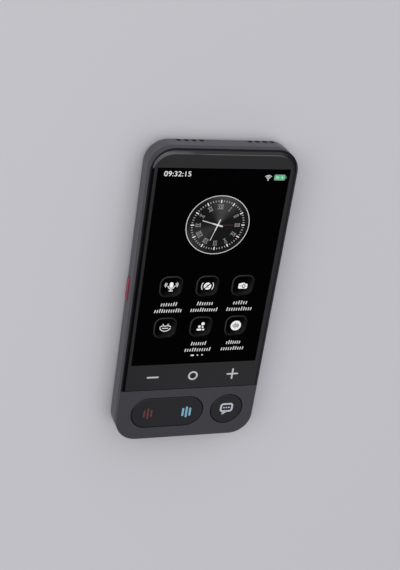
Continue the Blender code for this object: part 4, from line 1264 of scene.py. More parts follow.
@dataclass
class BackShell(Housing):
    """The deep rear shell with its bosses, slots and openings."""

    finish: Finish = MouldedPlastic("shell_plastic", (0.046, 0.0454, 0.0525), 0.36, specular=0.6)
    back_round: float = 0.004
    back_wall: float = 0.0014
    seam_close: float = 0.0002
    boss_radius: float = 0.002
    bore_radius: float = 0.0009
    slot_size: Spot = (0.002, 0.00185)
    slot_pitch: float = 0.003
    slot_count: int = 4
    flare: float = 0.00015
    mic_radius: float = 0.0004
    sight_radius: float = 0.0031
    lamp_radius: float = 0.0013
    seat_depth: float = 0.0012
    lip_level: float = 0.0073

    def build(self) -> None:
        """Models the shell and hangs it on the housing."""
        whole = Box.of("back_cover")
        top = whole.high.z + self.seam_close
        shell = self.plan(0.0, whole.low.z, top)
        shell.round_level(2, whole.low.z, self.back_round, CORNER_STEPS // 2)
        shell.round_level(2, top, self.edge_break, 2)
        cavity = self.plan(self.wall, self.back_wall, top + self.overrun)
        cavity.round_level(2, self.back_wall, self.back_round - self.wall, FINE_STEPS)
        shell = shell.cut(cavity, self.plan(self.lip, self.lip_level, top + self.overrun))
        shell = shell.joined(*[self.boss(screw) for screw in self.screws()])
        shell = shell.cut(*[self.bore(screw) for screw in self.screws()])
        shell = shell.cut(*self.slots(), self.key_opening(), self.port_opening(), self.mic_hole())
        seats = (self.seat("camera_ring", self.sight_radius), self.seat("flash_lens", self.lamp_radius))
        shell.cut(*seats).piece("rear_shell", self.finish, Slot.SHELL, "back_cover")

    @property
    def boss_top(self) -> float:
        """How high the bosses stand: just under the lower board."""
        return min(Box.of(board).low.z for board in ("main_board", "key_board")) - self.gap

    def boss(self, screw: Box) -> Solid:
        """The boss under one screw."""
        ends = (self.back_wall - self.embed, self.boss_top)
        return Solid.rod(self.boss_radius, ends, (*screw.centre.xy, 0))

    def bore(self, screw: Box) -> Solid:
        """The bore down one boss."""
        ends = (screw.low.z - self.gap, self.boss_top + self.overrun)
        return Solid.rod(self.bore_radius, ends, (*screw.centre.xy, 0), steps=TURN_STEPS // 3)

    def slot_places(self, cloth: Box) -> list[Vector]:
        """The middles of the slots in front of one speaker cloth, in the wall's outer face."""
        middles = [self.slot_pitch * (i - (self.slot_count - 1) / 2) for i in range(self.slot_count)]
        return [Vector((cloth.centre.x + x, self.outline.high.y, cloth.centre.z)) for x in middles]

    def slots(self) -> list[Solid]:
        """The eight speaker slots in the top wall.

        Returns:
            Their cutters.
        """
        wide, high = self.slot_size
        cutters = []
        for cloth in (Box.of("speaker_mesh_left"), Box.of("speaker_mesh_right")):
            for place in self.slot_places(cloth):
                box = Box.around(place, (wide, 0, high))
                box = box.between(1, place.y - self.wall - self.overrun / 4, place.y + self.overrun)
                cutters.append(opening(box, 1, place.y, -1, self.flare / 4, high / 2))
        return cutters

    def key_opening(self) -> Solid:
        """The opening for the red key in the left wall.

        Returns:
            The cutter.
        """
        inset = self.gap - SideKey.flange
        mouth = self.outline.low.x
        box = Box.of("side_button").grown(0, inset, inset)
        box = box.between(0, mouth - self.overrun, mouth + self.wall + self.overrun / 2)
        return opening(box, 0, mouth, 1, self.flare / 2, box.size.z / 2)

    def port_opening(self) -> Solid:
        """The opening for the charging port in the bottom wall."""
        mouth = self.outline.low.y
        box = Box.of("charging_port").grown(self.gap, 0, self.gap)
        box = box.between(1, mouth - self.overrun, mouth + self.wall + self.overrun)
        return opening(box, 1, mouth, 1, self.flare, box.size.z / 2)

    def mic_hole(self) -> Solid:
        """The small hole in front of the microphone.

        Returns:
            The cutter.
        """
        mic = Box.of("microphone").centre
        reach, flared = self.wall + self.overrun, self.mic_radius + self.flare
        profile = [
            (0, reach), (self.mic_radius, reach), (self.mic_radius, self.flare), (flared, 0),
            (flared, -self.overrun), (0, -self.overrun),
        ]
        return Solid.turned(profile, (mic.x, self.outline.low.y, mic.z), axis=1, steps=TURN_STEPS // 2)

    def seat(self, node: str, sight: float) -> Solid:
        """The seat of a round piece in the back wall, and the sight hole behind it.

        Args:
            node: The round piece.
            sight: The sight hole's radius.

        Returns:
            The cutter.
        """
        box = Box.of(node)
        radius, top = box.size.x / 2 + self.gap, self.back_wall + self.overrun
        profile = [
            (0, top), (sight, top), (sight, self.seat_depth), (radius, self.seat_depth),
            (radius, self.flare), (radius + self.flare, 0), (radius + self.flare, -self.overrun),
            (0, -self.overrun),
        ]
        return Solid.turned(profile, (*box.centre.xy, 0))


@dataclass
class SlotShadeCloth(BackShell):
    """Nearly black acoustic cloth that stands in the speaker slots, a little under their mouths, as painted
    shade for the slots' depth.
    """

    # The cloth's near-black colour is painted shade for the dark inside the slots.
    finish: Finish = AcousticCloth("slot_cloth", (0.004, 0.004, 0.004), 0.95)
    under: float = 0.00008
    play: float = 0.00001
    crown: float = 0.00003

    def build(self) -> None:
        """Models the cloth of both groups of slots."""
        wide, high = self.slot_size
        for name in ("speaker_mesh_left", "speaker_mesh_right"):
            cloth = Box.of(name)
            group = Solid()
            for place in self.slot_places(cloth):
                top = place.y - self.under
                box = Box.around(place, (wide, 0, high)).grown(-self.play, 0, -self.play)
                plug = Solid.block(box.between(1, cloth.high.y - self.play, top))
                plug.round_along(1, high / 2 - 2 * self.play, FINE_STEPS)
                group.added(plug.round_level(1, top, self.crown, 2))
            group.piece(name.replace("mesh", "slot_cloth"), self.finish, Slot.CLOTH)


@dataclass
class FrontFrame(Housing):
    """The front ring with its rim, the plate behind the screen and the chin with its key openings."""

    finish: Finish = MouldedPlastic("frame_plastic", (0.031, 0.0306, 0.034), 0.5)
    front_round: float = 0.0003
    rim: float = 0.00045
    chin_wall: float = 0.0014
    chin_bar: float = 0.0012
    plate_top: float = 0.0086
    ribbon_slot: Spot = (0.0016, 0.0006)
    key_break: float = 0.0001
    hinge_wall: float = 0.0006
    lug_width: float = 0.001

    def build(self) -> None:
        """Models the frame and hangs it on the housing."""
        whole = self.outline
        seam = Box.of("back_cover").high.z + self.gap
        ring = self.plan(0.0, seam, whole.high.z)
        ring.round_level(2, whole.high.z, self.front_round, 4)
        ring.round_level(2, seam, self.edge_break, 2)
        ring = ring.joined(self.plan(self.lip + self.gap, whole.low.z, seam + self.embed))
        ring = ring.cut(self.glass_well(), GapShadeTrim().seat(), *self.inner_wells())
        room = self.plan(self.wall + self.gap, whole.low.z - self.overrun, whole.high.z - self.chin_wall)
        ring = ring.cut(room.trimmed(Box.of("cover_glass").low.y - self.gap - self.chin_bar, 1))
        ring = ring.joined(*self.lugs()).cut(self.lug_bore())
        ring = ring.cut(self.key_hole("talk_rocker"), self.key_hole("assistant_button"))
        ring.piece("front_bezel", self.finish, Slot.FRAME, "front_frame")

    def glass_well(self) -> Solid:
        """The well that the glass lies in, with round corners at its top end."""
        box = Box.of("cover_glass").grown(self.gap, self.gap)
        box = box.between(2, Box.of("display_module").high.z, self.outline.high.z + self.overrun)
        return Solid.arched(box, self.corner - self.rim)

    def inner_wells(self) -> list[Solid]:
        """The wells of the screen module and of the touch keys' light guide, and the ribbon's slot.

        Returns:
            Their cutters.
        """
        module, guide = Box.of("display_module"), Box.of("touch_key_guide")
        top = module.high.z + self.overrun / 2
        start, end = (module.low.y - reach for reach in self.ribbon_slot)
        slot = Box.of("display_flex").grown(self.gap).between(1, start, end)
        slot = slot.between(2, self.outline.low.z - self.overrun, self.plate_top + self.embed)
        screen, touch = (
            Solid.block(box.grown(self.gap, self.gap).between(2, self.plate_top, top))
            for box in (module, guide)
        )
        return [screen.round_along(2, self.lip + self.gap, FINE_STEPS), touch, Solid.block(slot)]

    def lugs(self) -> list[Solid]:
        """The two lugs that hold the pill-shaped key's pin.

        Returns:
            The lugs.
        """
        pin = Box.of("rocker_pin")
        reach = pin.size.x / 2 + TalkRocker.bore_gap + self.hinge_wall
        block = Box(pin.centre - Vector((reach, 0, reach)), pin.centre + Vector((reach, 0, reach)))
        block = block.between(2, block.low.z, self.outline.high.z - self.chin_wall + self.embed)
        ends = ((pin.low.y, pin.low.y + self.lug_width), (pin.high.y - self.lug_width, pin.high.y))
        return [Solid.block(block.between(1, *pair)) for pair in ends]

    def lug_bore(self) -> Solid:
        """The bore of the pin through both lugs."""
        pin = Box.of("rocker_pin")
        reach, radius = pin.size.y / 2 + self.embed, pin.size.x / 2 + TalkRocker.bore_gap
        return Solid.rod(radius, (-reach, reach), pin.centre, 1, TURN_STEPS // 3)

    def key_hole(self, node: str) -> Solid:
        """A key's opening in the chin."""
        front = self.outline.high.z
        box = Box.of(node).grown(-FrontKey.flange, -FrontKey.flange)
        box = box.between(2, front - self.chin_wall - self.embed, front + self.overrun)
        return opening(box, 2, front, -1, self.key_break, box.size.y / 2 - self.gap / 1000)


@dataclass
class CoverGlass:
    """The panel over the screen, with a sloping edge on its left, top and right."""

    finish: InkedGlass = InkedGlass("inked_glass", (0.0045, 0.0045, 0.005), 0.05)
    corner: float = 0.00825
    flat_drop: float = 0.00006
    lip_in: float = 0.00008
    lip_up: float = 0.00006
    slope_in: float = 0.00078
    slope_up: float = 0.00019
    crease_in: float = 0.00026
    crease_up: float = 0.00003
    top_stretch: float = 0.64

    @property
    def bands(self) -> tuple[tuple[float, float, bool], ...]:
        """How far in and up each band of the edge goes, from wall to flat, and whether it ends level."""
        return (
            (self.lip_in / 3, self.lip_up / 2, False), (self.lip_in * 2 / 3, self.lip_up / 2, False),
            (self.slope_in, self.slope_up, True),
            (self.crease_in / 2, self.crease_up * 0.75, False),
            (self.crease_in / 2, self.crease_up * 0.25, False),
        )

    @property
    def flat_level(self) -> float:
        """The level of the flat inside the sloping edge."""
        return Box.of("cover_glass").high.z - self.flat_drop

    @property
    def wall_top(self) -> float:
        """The level where the upright wall ends."""
        return self.flat_level - sum(band[1] for band in self.bands)

    def fitted(self) -> InkedGlass:
        """The finish, with its print fitted to the flat.

        Returns:
            The finish for this glass.
        """
        box = Box.of("cover_glass")
        reach = sum(band[0] for band in self.bands)
        return replace(
            self.finish, half_width=box.size.x / 2 - reach, top=box.high.y - reach * (1 + self.top_stretch),
            corner=self.corner - reach, wall_top=self.wall_top,
        )

    def build(self) -> None:
        """Models the glass by insets that climb from its wall to its flat."""
        box = Box.of("cover_glass")
        margin = 4 * (self.slope_in + self.crease_in)
        pane = Solid.arched(
            box.between(1, box.low.y - margin, box.high.y).between(2, box.low.z, self.wall_top), self.corner,
        )
        face = max(pane.bm.faces, key=lambda item: item.calc_center_median().z)
        start = box.high.y - self.corner
        self.lower(face, start, 2, self.slope_up * self.top_stretch)
        level = self.wall_top
        for inwards, upwards, levelled in self.bands:
            bmesh.ops.inset_region(
                pane.bm, faces=[face], thickness=inwards, depth=upwards, use_even_offset=True,
                use_boundary=True,
            )
            self.lower(face, start, 1, inwards * self.top_stretch)
            level += upwards
            if levelled:
                for corner in face.verts:
                    corner.co.z = level
        pane.trimmed(box.low.y, -1)
        pane.piece("cover_pane", self.fitted(), Slot.GLASS, "cover_glass")

    def lower(self, face: bmesh.types.BMFace, start: float, axis: int, drop: float) -> None:
        """Moves a face's top side back along an axis, and its round corners ever less.

        Args:
            face: The face.
            start: The level where its round corners start, which stays.
            axis: The axis that it is moved along.
            drop: How far its top side moves.
        """
        top = max(corner.co.y for corner in face.verts)
        for corner in face.verts:
            corner.co[axis] -= drop * max(0.0, (corner.co.y - start) / (top - start))


@dataclass
class GapShadeTrim(Housing):
    """The dark trim between the rim and the glass, on its left, top and right; its dark is painted shade for
    the gap there.
    """

    # The trim's near-black colour is painted shade for the gap between rim and glass.
    finish: Finish = GapShadeRubber("gap_shade_rubber", (0.005, 0.005, 0.0053), 0.45, specular=0.12)
    width: float = 0.00062
    foot_level: float = 0.01202
    top_level: float = 0.01244
    play: float = 0.00002
    top_round: float = 0.00015

    def block(self, wider: float, low: float, high: float) -> Box:
        """The glass's outline, wider at its sides and top end, between two levels."""
        return Box.of("cover_glass").grown(wider, wider).between(2, low, high)

    def seat(self) -> Solid:
        """The room that the trim needs in the frame."""
        wider = self.width + self.play
        box = self.block(wider, self.foot_level, self.outline.high.z + self.overrun)
        foot = Box.of("cover_glass").low.y - self.gap
        return Solid.arched(box.between(1, foot, box.high.y), CoverGlass.corner + wider)

    def build(self) -> None:
        """Models the trim and hangs it on the housing."""
        outer = self.block(self.width, self.foot_level, self.top_level)
        outer = outer.between(1, Box.of("cover_glass").low.y, outer.high.y)
        inner = self.block(self.play, self.foot_level - self.gap, self.top_level + self.gap)
        trim = Solid.arched(outer, CoverGlass.corner + self.width)
        trim.round_level(2, self.top_level, self.top_round, 3)
        trim = trim.cut(Solid.arched(inner, CoverGlass.corner + self.play))
        trim.piece("gap_shade_trim", self.finish, Slot.FRAME)


@dataclass
class FrontKey:
    """What the two front keys share: a cap with a flange under the chin and pockets for light guides."""

    edge_round: float = 0.0003
    flange: float = 0.0007
    flange_thickness: float = 0.0006
    gap: float = 0.0003
    pocket_radius: float = 0.0034

    def cap(self, outer: Box, under: float) -> Solid:
        """The cap with its flange.

        Args:
            outer: The flange's outline, and the cap's upper face.
            under: The flange's lower level.

        Returns:
            The cap.
        """
        inset = self.flange + self.gap
        flange_top = under + self.flange_thickness
        top = outer.grown(-inset, -inset).between(2, flange_top - self.gap, outer.high.z)
        cap = Solid.block(top).pill(2, top.size.y)
        cap.round_level(2, outer.high.z, self.edge_round)
        return cap.joined(Solid.block(outer.between(2, under, flange_top)).pill(2, outer.size.y))

    def pocket(self, guide: str, under: float) -> Solid:
        """The pocket that one light guide sits in."""
        box = Box.of(guide)
        ends = (under - self.gap, box.high.z + self.gap)
        return Solid.rod(self.pocket_radius, ends, (*box.centre.xy, 0))


@dataclass
class TalkRocker(FrontKey):
    """The pill-shaped key that rocks on its pin, with a red mark and a blue one."""

    finish: Finish = MouldedPlastic("pill_plastic", (0.0092, 0.0091, 0.0107), 0.42, specular=0.33)
    bore_gap: float = 0.0001
    rib_round: float = 0.0006

    def build(self) -> None:
        """Models the key and hangs it on its body."""
        key, pin = Box.of("talk_rocker"), Box.of("rocker_pin")
        radius = pin.size.x / 2 + self.bore_gap
        reach = radius + self.rib_round
        under = pin.centre.z + radius + self.gap
        low = Vector((pin.centre.x - reach, key.low.y + self.flange, pin.centre.z - reach))
        high = Vector((pin.centre.x + reach, key.high.y - self.flange, under + self.gap))
        rib = Solid.block(Box(low, high)).round_along(1, self.rib_round, 4)
        bore = Solid.rod(radius, (-key.size.y, key.size.y), pin.centre, 1, TURN_STEPS // 3)
        pockets = [self.pocket(guide, under) for guide in ("red_light_guide", "blue_light_guide")]
        cap = self.cap(key, under).joined(rib).cut(bore, *pockets)
        cap.piece("pill_key", self.finish, Slot.KEY, "talk_rocker", body=Body.ROCKER)


@dataclass
class RoundKey(FrontKey):
    """The round key, pressed straight in."""

    finish: Finish = MouldedPlastic("round_plastic", (0.0092, 0.0091, 0.0107), 0.42, specular=0.33)

    def build(self) -> None:
        """Models the key and hangs it on its body."""
        key = Box.of("assistant_button")
        cap = self.cap(key, key.low.z).cut(self.pocket("assistant_light_guide", key.low.z))
        cap.piece("round_cap", self.finish, Slot.KEY, "assistant_button", body=Body.ROUND_KEY)


@dataclass
class SideKey:
    """The red key in the left wall, with its flange and the nub that presses its switch."""

    finish: Finish = MouldedPlastic("red_plastic", (0.27, 0.024, 0.04), 0.38)
    flange: float = 0.0004
    flange_thickness: float = 0.0006
    nub: float = 0.0003
    nub_insets: Spot = (0.377, 0.31)
    edge_round: float = 0.00025

    def build(self) -> None:
        """Models the key and hangs it on its body."""
        whole = Box.of("side_button")
        end = whole.high.x - self.nub
        head = whole.grown(0, -self.flange, -self.flange).between(0, whole.low.x, end - self.nub)
        key = Solid.block(head).pill(0, head.size.z).round_level(0, whole.low.x, self.edge_round)
        foot = Solid.block(whole.between(0, end - self.flange_thickness, end))
        foot.round_along(0, head.size.z / 2, FINE_STEPS)
        insets = (-size * share for size, share in zip(whole.size.yz, self.nub_insets))
        button = Solid.block(whole.grown(0, *insets).between(0, end - self.nub, whole.high.x))
        key = key.joined(foot, button)
        key.piece("red_key", self.finish, Slot.SIDE_KEY, "side_button", body=Body.SIDE_KEY)


@dataclass
class ChargingPort:
    """The charging socket in the bottom wall: its metal shell, the tongue and the tongue's contacts."""

    steel: Finish = Metal("port_steel", (0.5, 0.5, 0.52), 0.3)
    plastic: Finish = MouldedPlastic("tongue_plastic", (0.012, 0.012, 0.012), 0.5)
    gold: Finish = Metal("contact_gold", (0.76, 0.53, 0.2), 0.28)
    wall: float = 0.0003
    depth: float = 0.0062
    lip_break: float = 0.00012
    tongue_size: Triple = (0.0066, 0.0045, 0.0007)
    tongue_break: float = 0.00015
    embed: float = 0.0001
    contact_count: int = 12
    contact_pitch: float = 0.0005
    contact_width: float = 0.00025
    contact_share: float = 0.8
    contact_rise: float = 0.00002

    @property
    def tongue(self) -> Box:
        """The space of the tongue, which stands on the socket's inner end."""
        box = Box.of("charging_port")
        end, room = box.low.y + self.depth, Box.around(box.centre, self.tongue_size)
        return room.between(1, end - self.tongue_size[1], end + self.embed)

    def build(self) -> None:
        """Models the socket and hangs it on the housing."""
        box = Box.of("charging_port")
        mouth, end = box.low.y, box.low.y + self.depth
        room = box.grown(-self.wall, 0, -self.wall).between(1, mouth - self.depth, end)
        shell = Solid.block(box).pill(1, box.size.z).round_level(1, mouth, self.lip_break, 2)
        shell = shell.cut(Solid.block(room).pill(1, room.size.z))
        shell.piece("port_shell", self.steel, Slot.STEEL, "charging_port")
        core = Solid.block(self.tongue)
        core.round_along(2, self.tongue_break, 3, wanted=lambda middle: middle.y < end)
        core.piece("port_tongue", self.plastic, Slot.STEEL)
        self.contacts().piece("port_contacts", self.gold, Slot.STEEL)

    def contacts(self) -> Solid:
        """A row of contacts on both faces of the tongue.

        Returns:
            The contacts of both faces.
        """
        row, tongue = Solid(), self.tongue
        first = tongue.low.y + self.tongue_break
        band = tongue.between(1, first, first + tongue.size.y * self.contact_share)
        for i in range(self.contact_count):
            x = tongue.centre.x + self.contact_pitch * (i - (self.contact_count - 1) / 2)
            strip = band.between(0, x - self.contact_width / 2, x + self.contact_width / 2)
            for face in (tongue.low.z, tongue.high.z):
                row.added(Solid.block(strip.between(2, face - self.contact_rise, face + self.contact_rise)))
        return row


@dataclass
class RearCamera:
    """The rear camera's ring, window and front lens, and the ribbed cover of its lamp."""

    metal: Finish = Metal("dark_ring", (0.12, 0.12, 0.13), 0.3, scale=(1.0, 1.0, 1.0))
    glass: Finish = CoatedLens("window_glass", (0.003, 0.003, 0.004), 0.05, ring=(0.004, 0.004, 0.006),
                               radius=0.004)
    coated: CoatedLens = CoatedLens("front_lens", (0.004, 0.004, 0.007), 0.04)
    clear: Finish = MilkyPlastic("flash_clear", (0.8, 0.8, 0.74), 0.15)
    ring_width: float = 0.0011
    ring_break: float = 0.0002
    bevel_depth: float = 0.00025
    sight: float = 0.0021
    play: float = 0.00003
    window_break: float = 0.00008
    lens_recess: float = 0.0001
    lens_bulge: float = 0.00022
    dome_steps: int = 12
    rib_count: int = 5
    rib_depth: float = 0.00006

    def build(self) -> None:
        """Models the pieces and hangs them on the housing."""
        lens = replace(self.coated, centre=tuple(Box.of("camera_window").centre.xy), radius=self.sight)
        for name, node, shape, finish, slot in (
            ("camera_bezel", "camera_ring", self.bezel, self.metal, Slot.RING),
            ("window_glass", "camera_window", self.window, self.glass, Slot.GLASS),
            ("front_lens", "camera_window", self.dome, lens, Slot.GLASS),
            ("lamp_cover", "flash_lens", self.ribs, self.clear, Slot.GUIDE),
        ):
            box = Box.of(node)
            solid = Solid.turned(shape(box.size.x / 2, box.size.z), (*box.centre.xy, box.low.z))
            solid.piece(name, finish, slot, *([] if shape == self.dome else [node]))

    def bezel(self, outer: float, deep: float) -> list[Spot]:
        """The profile of the ring, from its radius and depth. Heights are counted from its outer face.

        Args:
            outer: Its radius.
            deep: Its depth.

        Returns:
            Radius and height of each corner.
        """
        inner = outer - self.ring_width
        rim = (outer + inner) / 2
        return [
            (inner, deep), (outer, deep), (outer, self.ring_break), (outer - self.ring_break, 0), (rim, 0),
            (rim - self.ring_break / 2, self.ring_break / 4), (inner, self.bevel_depth),
        ]

    def window(self, radius: float, thick: float) -> list[Spot]:
        """The profile of the flat window, from its radius and thickness.

        Args:
            radius: Its radius.
            thick: Its thickness.

        Returns:
            Radius and height of each corner.
        """
        return [
            (self.sight, thick), (radius, thick), (radius, self.window_break),
            (radius - self.window_break, 0), (self.sight + self.window_break, 0),
            (self.sight, self.window_break),
        ]

    def dome(self, _: float, thick: float) -> list[Spot]:
        """The profile of the front lens in the window's middle: a shallow dome that looks out."""
        reach = self.sight - self.play
        shares = [1 - i / self.dome_steps for i in range(self.dome_steps + 1)]
        arch = [(reach * share, self.lens_recess + self.lens_bulge * share ** 2) for share in shares]
        return [(0, thick), (reach, thick), *arch]

    def ribs(self, radius: float, thick: float) -> list[Spot]:
        """The profile of the lamp's cover: a disc with round ribs in its outer face.

        Args:
            radius: Its radius.
            thick: Its thickness.

        Returns:
            Radius and height of each corner.
        """
        pitch = radius / (self.rib_count + 1)
        profile = [(0, thick), (radius, thick), (radius, self.window_break), (radius - self.window_break, 0)]
        for i in range(self.rib_count, 0, -1):
            profile += [(pitch * (i + 0.5), 0), (pitch * i, self.rib_depth), (pitch * (i - 0.1), 0)]
        return [*profile, (0, 0)]


class Flat:
    """Thin solids drawn side by side in one level plane, such as a mark or a symbol."""

    def __init__(self, level: float, thickness: float, origin: Sequence[float] = (0.0, 0.0),
                 unit: float = 1.0) -> None:
        """Starts empty.

        Args:
            level: The height of the drawing's upper face.
            thickness: How thick the solids are.
            origin: The place that all places in it are counted from.
            unit: The length in metres that all its places and sizes are given in.
        """
        self.bm = bmesh.new()
        self.level = level
        self.thickness = thickness
        self.origin = origin
        self.unit = unit

    def take(self, part: bmesh.types.BMesh, centre: Sequence[float], angle: float = 0.0) -> "Flat":
        """Turns a shape drawn round its own middle, moves it to its place and keeps it."""
        x, y = (start + along * self.unit for start, along in zip(self.origin, centre))
        part.transform(Matrix.Translation((x, y, 0)) @ Matrix.Rotation(angle, 4, "Z"))
        absorb(self.bm, part)
        return self

    def disc(self, centre: Sequence[float], radius: float, steps: int = 48) -> "Flat":
        """A round face."""
        part = bmesh.new()
        bmesh.ops.create_circle(part, cap_ends=True, segments=steps, radius=radius * self.unit)
        return self.take(part, centre)

    def rectangle(self, size: Sequence[float], corner: float, steps: int) -> bmesh.types.BMesh:
        """A rectangle round its own middle, with round corners where a radius is given.

        Args:
            size: Its width and height.
            corner: The radius of its corners.
            steps: How many facets each corner gets.

        Returns:
            The rectangle.
        """
        wide, high = (length * self.unit for length in size[:2])
        part = bmesh.new()
        bmesh.ops.create_grid(part, x_segments=1, y_segments=1, size=0.5)
        bmesh.ops.scale(part, vec=(wide, high, 1), verts=part.verts)
        if corner:
            bmesh.ops.bevel(
                part, geom=part.verts[:], offset=min(corner * self.unit, min(wide, high) / 2 - MERGE),
                offset_type="OFFSET", segments=steps, profile=0.5, affect="VERTICES", material=-1,
            )
        return part

    def plate(self, centre: Sequence[float], size: Sequence[float], corner: float = 0.0,
              angle: float = 0.0) -> "Flat":
        """A rectangle, with round corners where a radius is given."""
        return self.take(self.rectangle(size, corner, FINE_STEPS), centre, angle)

    def outline(self, centre: Sequence[float], size: Sequence[float], corner: float, width: float) -> "Flat":
        """A rounded rectangle's border, which lies inside the given size.

        Args:
            centre: Its middle.
            size: Its width and height.
            corner: The radius of its corners.
            width: The border's width.

        Returns:
            The same drawing.
        """
        part = self.rectangle(size, corner, 2 * FINE_STEPS)
        inner = part.faces[:]
        bmesh.ops.inset_region(
            part, faces=inner, thickness=width * self.unit, use_even_offset=True, use_boundary=True,
        )
        bmesh.ops.delete(part, geom=inner, context="FACES")
        return self.take(part, centre)

    def stroke(self, start: Sequence[float], end: Sequence[float], width: float,
               ends: float = 1.0) -> "Flat":
        """A straight stroke, whose ends are round at 1 and square at 0.

        Args:
            start: Where it starts.
            end: Where it ends.
            width: Its width.
            ends: How round its ends are.

        Returns:
            The same drawing.
        """
        first, last = Vector(start[:2]), Vector(end[:2])
        run = last - first
        size = (run.length + width * ends, width)
        return self.plate((first + last) / 2, size, width / 2 * ends, math.atan2(run.y, run.x))

    def arc(self, centre: Sequence[float], radius: float, width: float, start: float = 0.0,
            end: float = 360.0) -> "Flat":
        """A ring or a part of one, between two bearings in degrees counted from the right.

        Args:
            centre: Its middle.
            radius: The radius of its middle line.
            width: Its width.
            start: The bearing where it starts.
            end: The bearing where it ends.

        Returns:
            The same drawing.
        """
        part = bmesh.new()
        sweep = abs(end - start)
        ends = [(radius + side * width / 2) * self.unit for side in (-1, 1)]
        row = [part.verts.new((reach, 0, 0)) for reach in ends]
        bmesh.ops.spin(
            part, geom=[*row, part.edges.new(row)], cent=(0, 0, 0), axis=(0, 0, 1),
            angle=math.radians(end - start), steps=max(3, round(TURN_STEPS * sweep / 360)),
            use_merge=sweep > 359.9, use_duplicate=False,
        )
        part.transform(Matrix.Rotation(math.radians(start), 4, "Z"))
        return self.take(part, centre)

    def corners(self, *points: Sequence[float]) -> "Flat":
        """A face with straight sides between a few points."""
        part = bmesh.new()
        row = [part.verts.new((x * self.unit, y * self.unit, 0)) for x, y in points]
        bmesh.ops.contextual_create(part, geom=row)
        return self.take(part, (0.0, 0.0))

    def figures(self, text: str, centre: Sequence[float], size: Sequence[float], weight: float) -> "Flat":
        """Plain figures, set round a centre.

        Args:
            text: The figures.
            centre: The middle of the row.
            size: The row's width and height.
            weight: How far their strokes are fattened.

        Returns:
            The same drawing.
        """
        curve = bpy.data.curves.new("figures", "FONT")
        curve.body = text
        curve.offset = weight
        item = placed("figures", curve)
        bpy.context.view_layer.update()
        mesh = bpy.data.meshes.new_from_object(item.evaluated_get(bpy.context.evaluated_depsgraph_get()))
        part = bmesh.new()
        part.from_mesh(mesh)
        bpy.data.objects.remove(item, do_unlink=True)
        bpy.data.curves.remove(curve)
        bpy.data.meshes.remove(mesh)
        spots = [corner.co.xy for corner in part.verts]
        low, high = (Vector(map(end, zip(*spots))) for end in (min, max))
        part.transform(Matrix.Translation((*(-(low + high) / 2), 0)))
        wide, tall = (length * self.unit / drawn for length, drawn in zip(size, high - low))
        part.transform(Matrix.Diagonal((wide, tall, 1, 1)))
        bmesh.ops.remove_doubles(part, verts=part.verts, dist=MERGE)
        return self.take(part, centre)

    def scaled(self, scale: Sequence[float]) -> "Flat":
        """Scales the whole drawing about its origin."""
        middle = Matrix.Translation((*self.origin, 0))
        self.bm.transform(middle @ Matrix.Diagonal((*scale, 1, 1)) @ middle.inverted())
        return self

    def piece(self, name: str, finish: Finish, slot: Slot, body: Body = Body.HOUSING) -> None:
        """Gives the drawing its thickness and makes it a piece.

        Args:
            name: The piece's name.
            finish: Its finish.
            slot: The record's material slot, which is handed on to Solid.piece.
            body: The body that it rides on.
        """
        bmesh.ops.translate(self.bm, vec=(0, 0, self.level - self.thickness), verts=self.bm.verts)
        made = bmesh.ops.extrude_face_region(self.bm, geom=self.bm.faces[:])["geom"]
        raised = [item for item in made if isinstance(item, bmesh.types.BMVert)]
        bmesh.ops.translate(self.bm, vec=(0, 0, self.thickness), verts=raised)
        Solid(self.bm).piece(name, finish, slot, body=body)


@dataclass
class Picture:
    """What all parts of the screen's picture share: their levels, which climb in hair-thin layers."""

    rise: float = 0.000006
    embed: float = 0.000004
    roughness: float = 0.08

    def layer(self, number: float, origin: Sequence[float] = (0.0, 0.0), unit: float = 1.0) -> Flat:
        """A new drawing on one of the picture's layers, counted from the black of the screen."""
        level = CoverGlass().flat_level + self.rise * (number + 1)
        return Flat(level, self.rise + self.embed, origin, unit)

    def place(self, drawing: Flat, name: str, level: float, tint: Colour = WHITE) -> None:
        """Makes a drawing a lit piece of the picture, as bright as a display level says."""
        finish = LitPixels(f"lit_{name}", shade(level, tint), self.roughness)
        drawing.piece(name, finish, Slot.SCREEN)


@dataclass
class ScreenGround(Picture):
    """The black ground of the picture."""

    border: float = 0.0009
    top_border: float = 0.0004
    driver: float = 0.0036
    black: Colour = (0.0004, 0.0004, 0.0005)

    def build(self) -> None:
        """Lays the ground over the screen module's lit area."""
        module = Box.of("display_module")
        low = module.low + Vector((self.border, self.driver, 0))
        high = module.high - Vector((self.border, self.top_border, 0))
        ground = self.layer(0).plate((low + high) / 2, high - low)
        finish = BlackScreen("screen_black", self.black, self.roughness)
        ground.piece("screen_ground", finish, Slot.SCREEN)


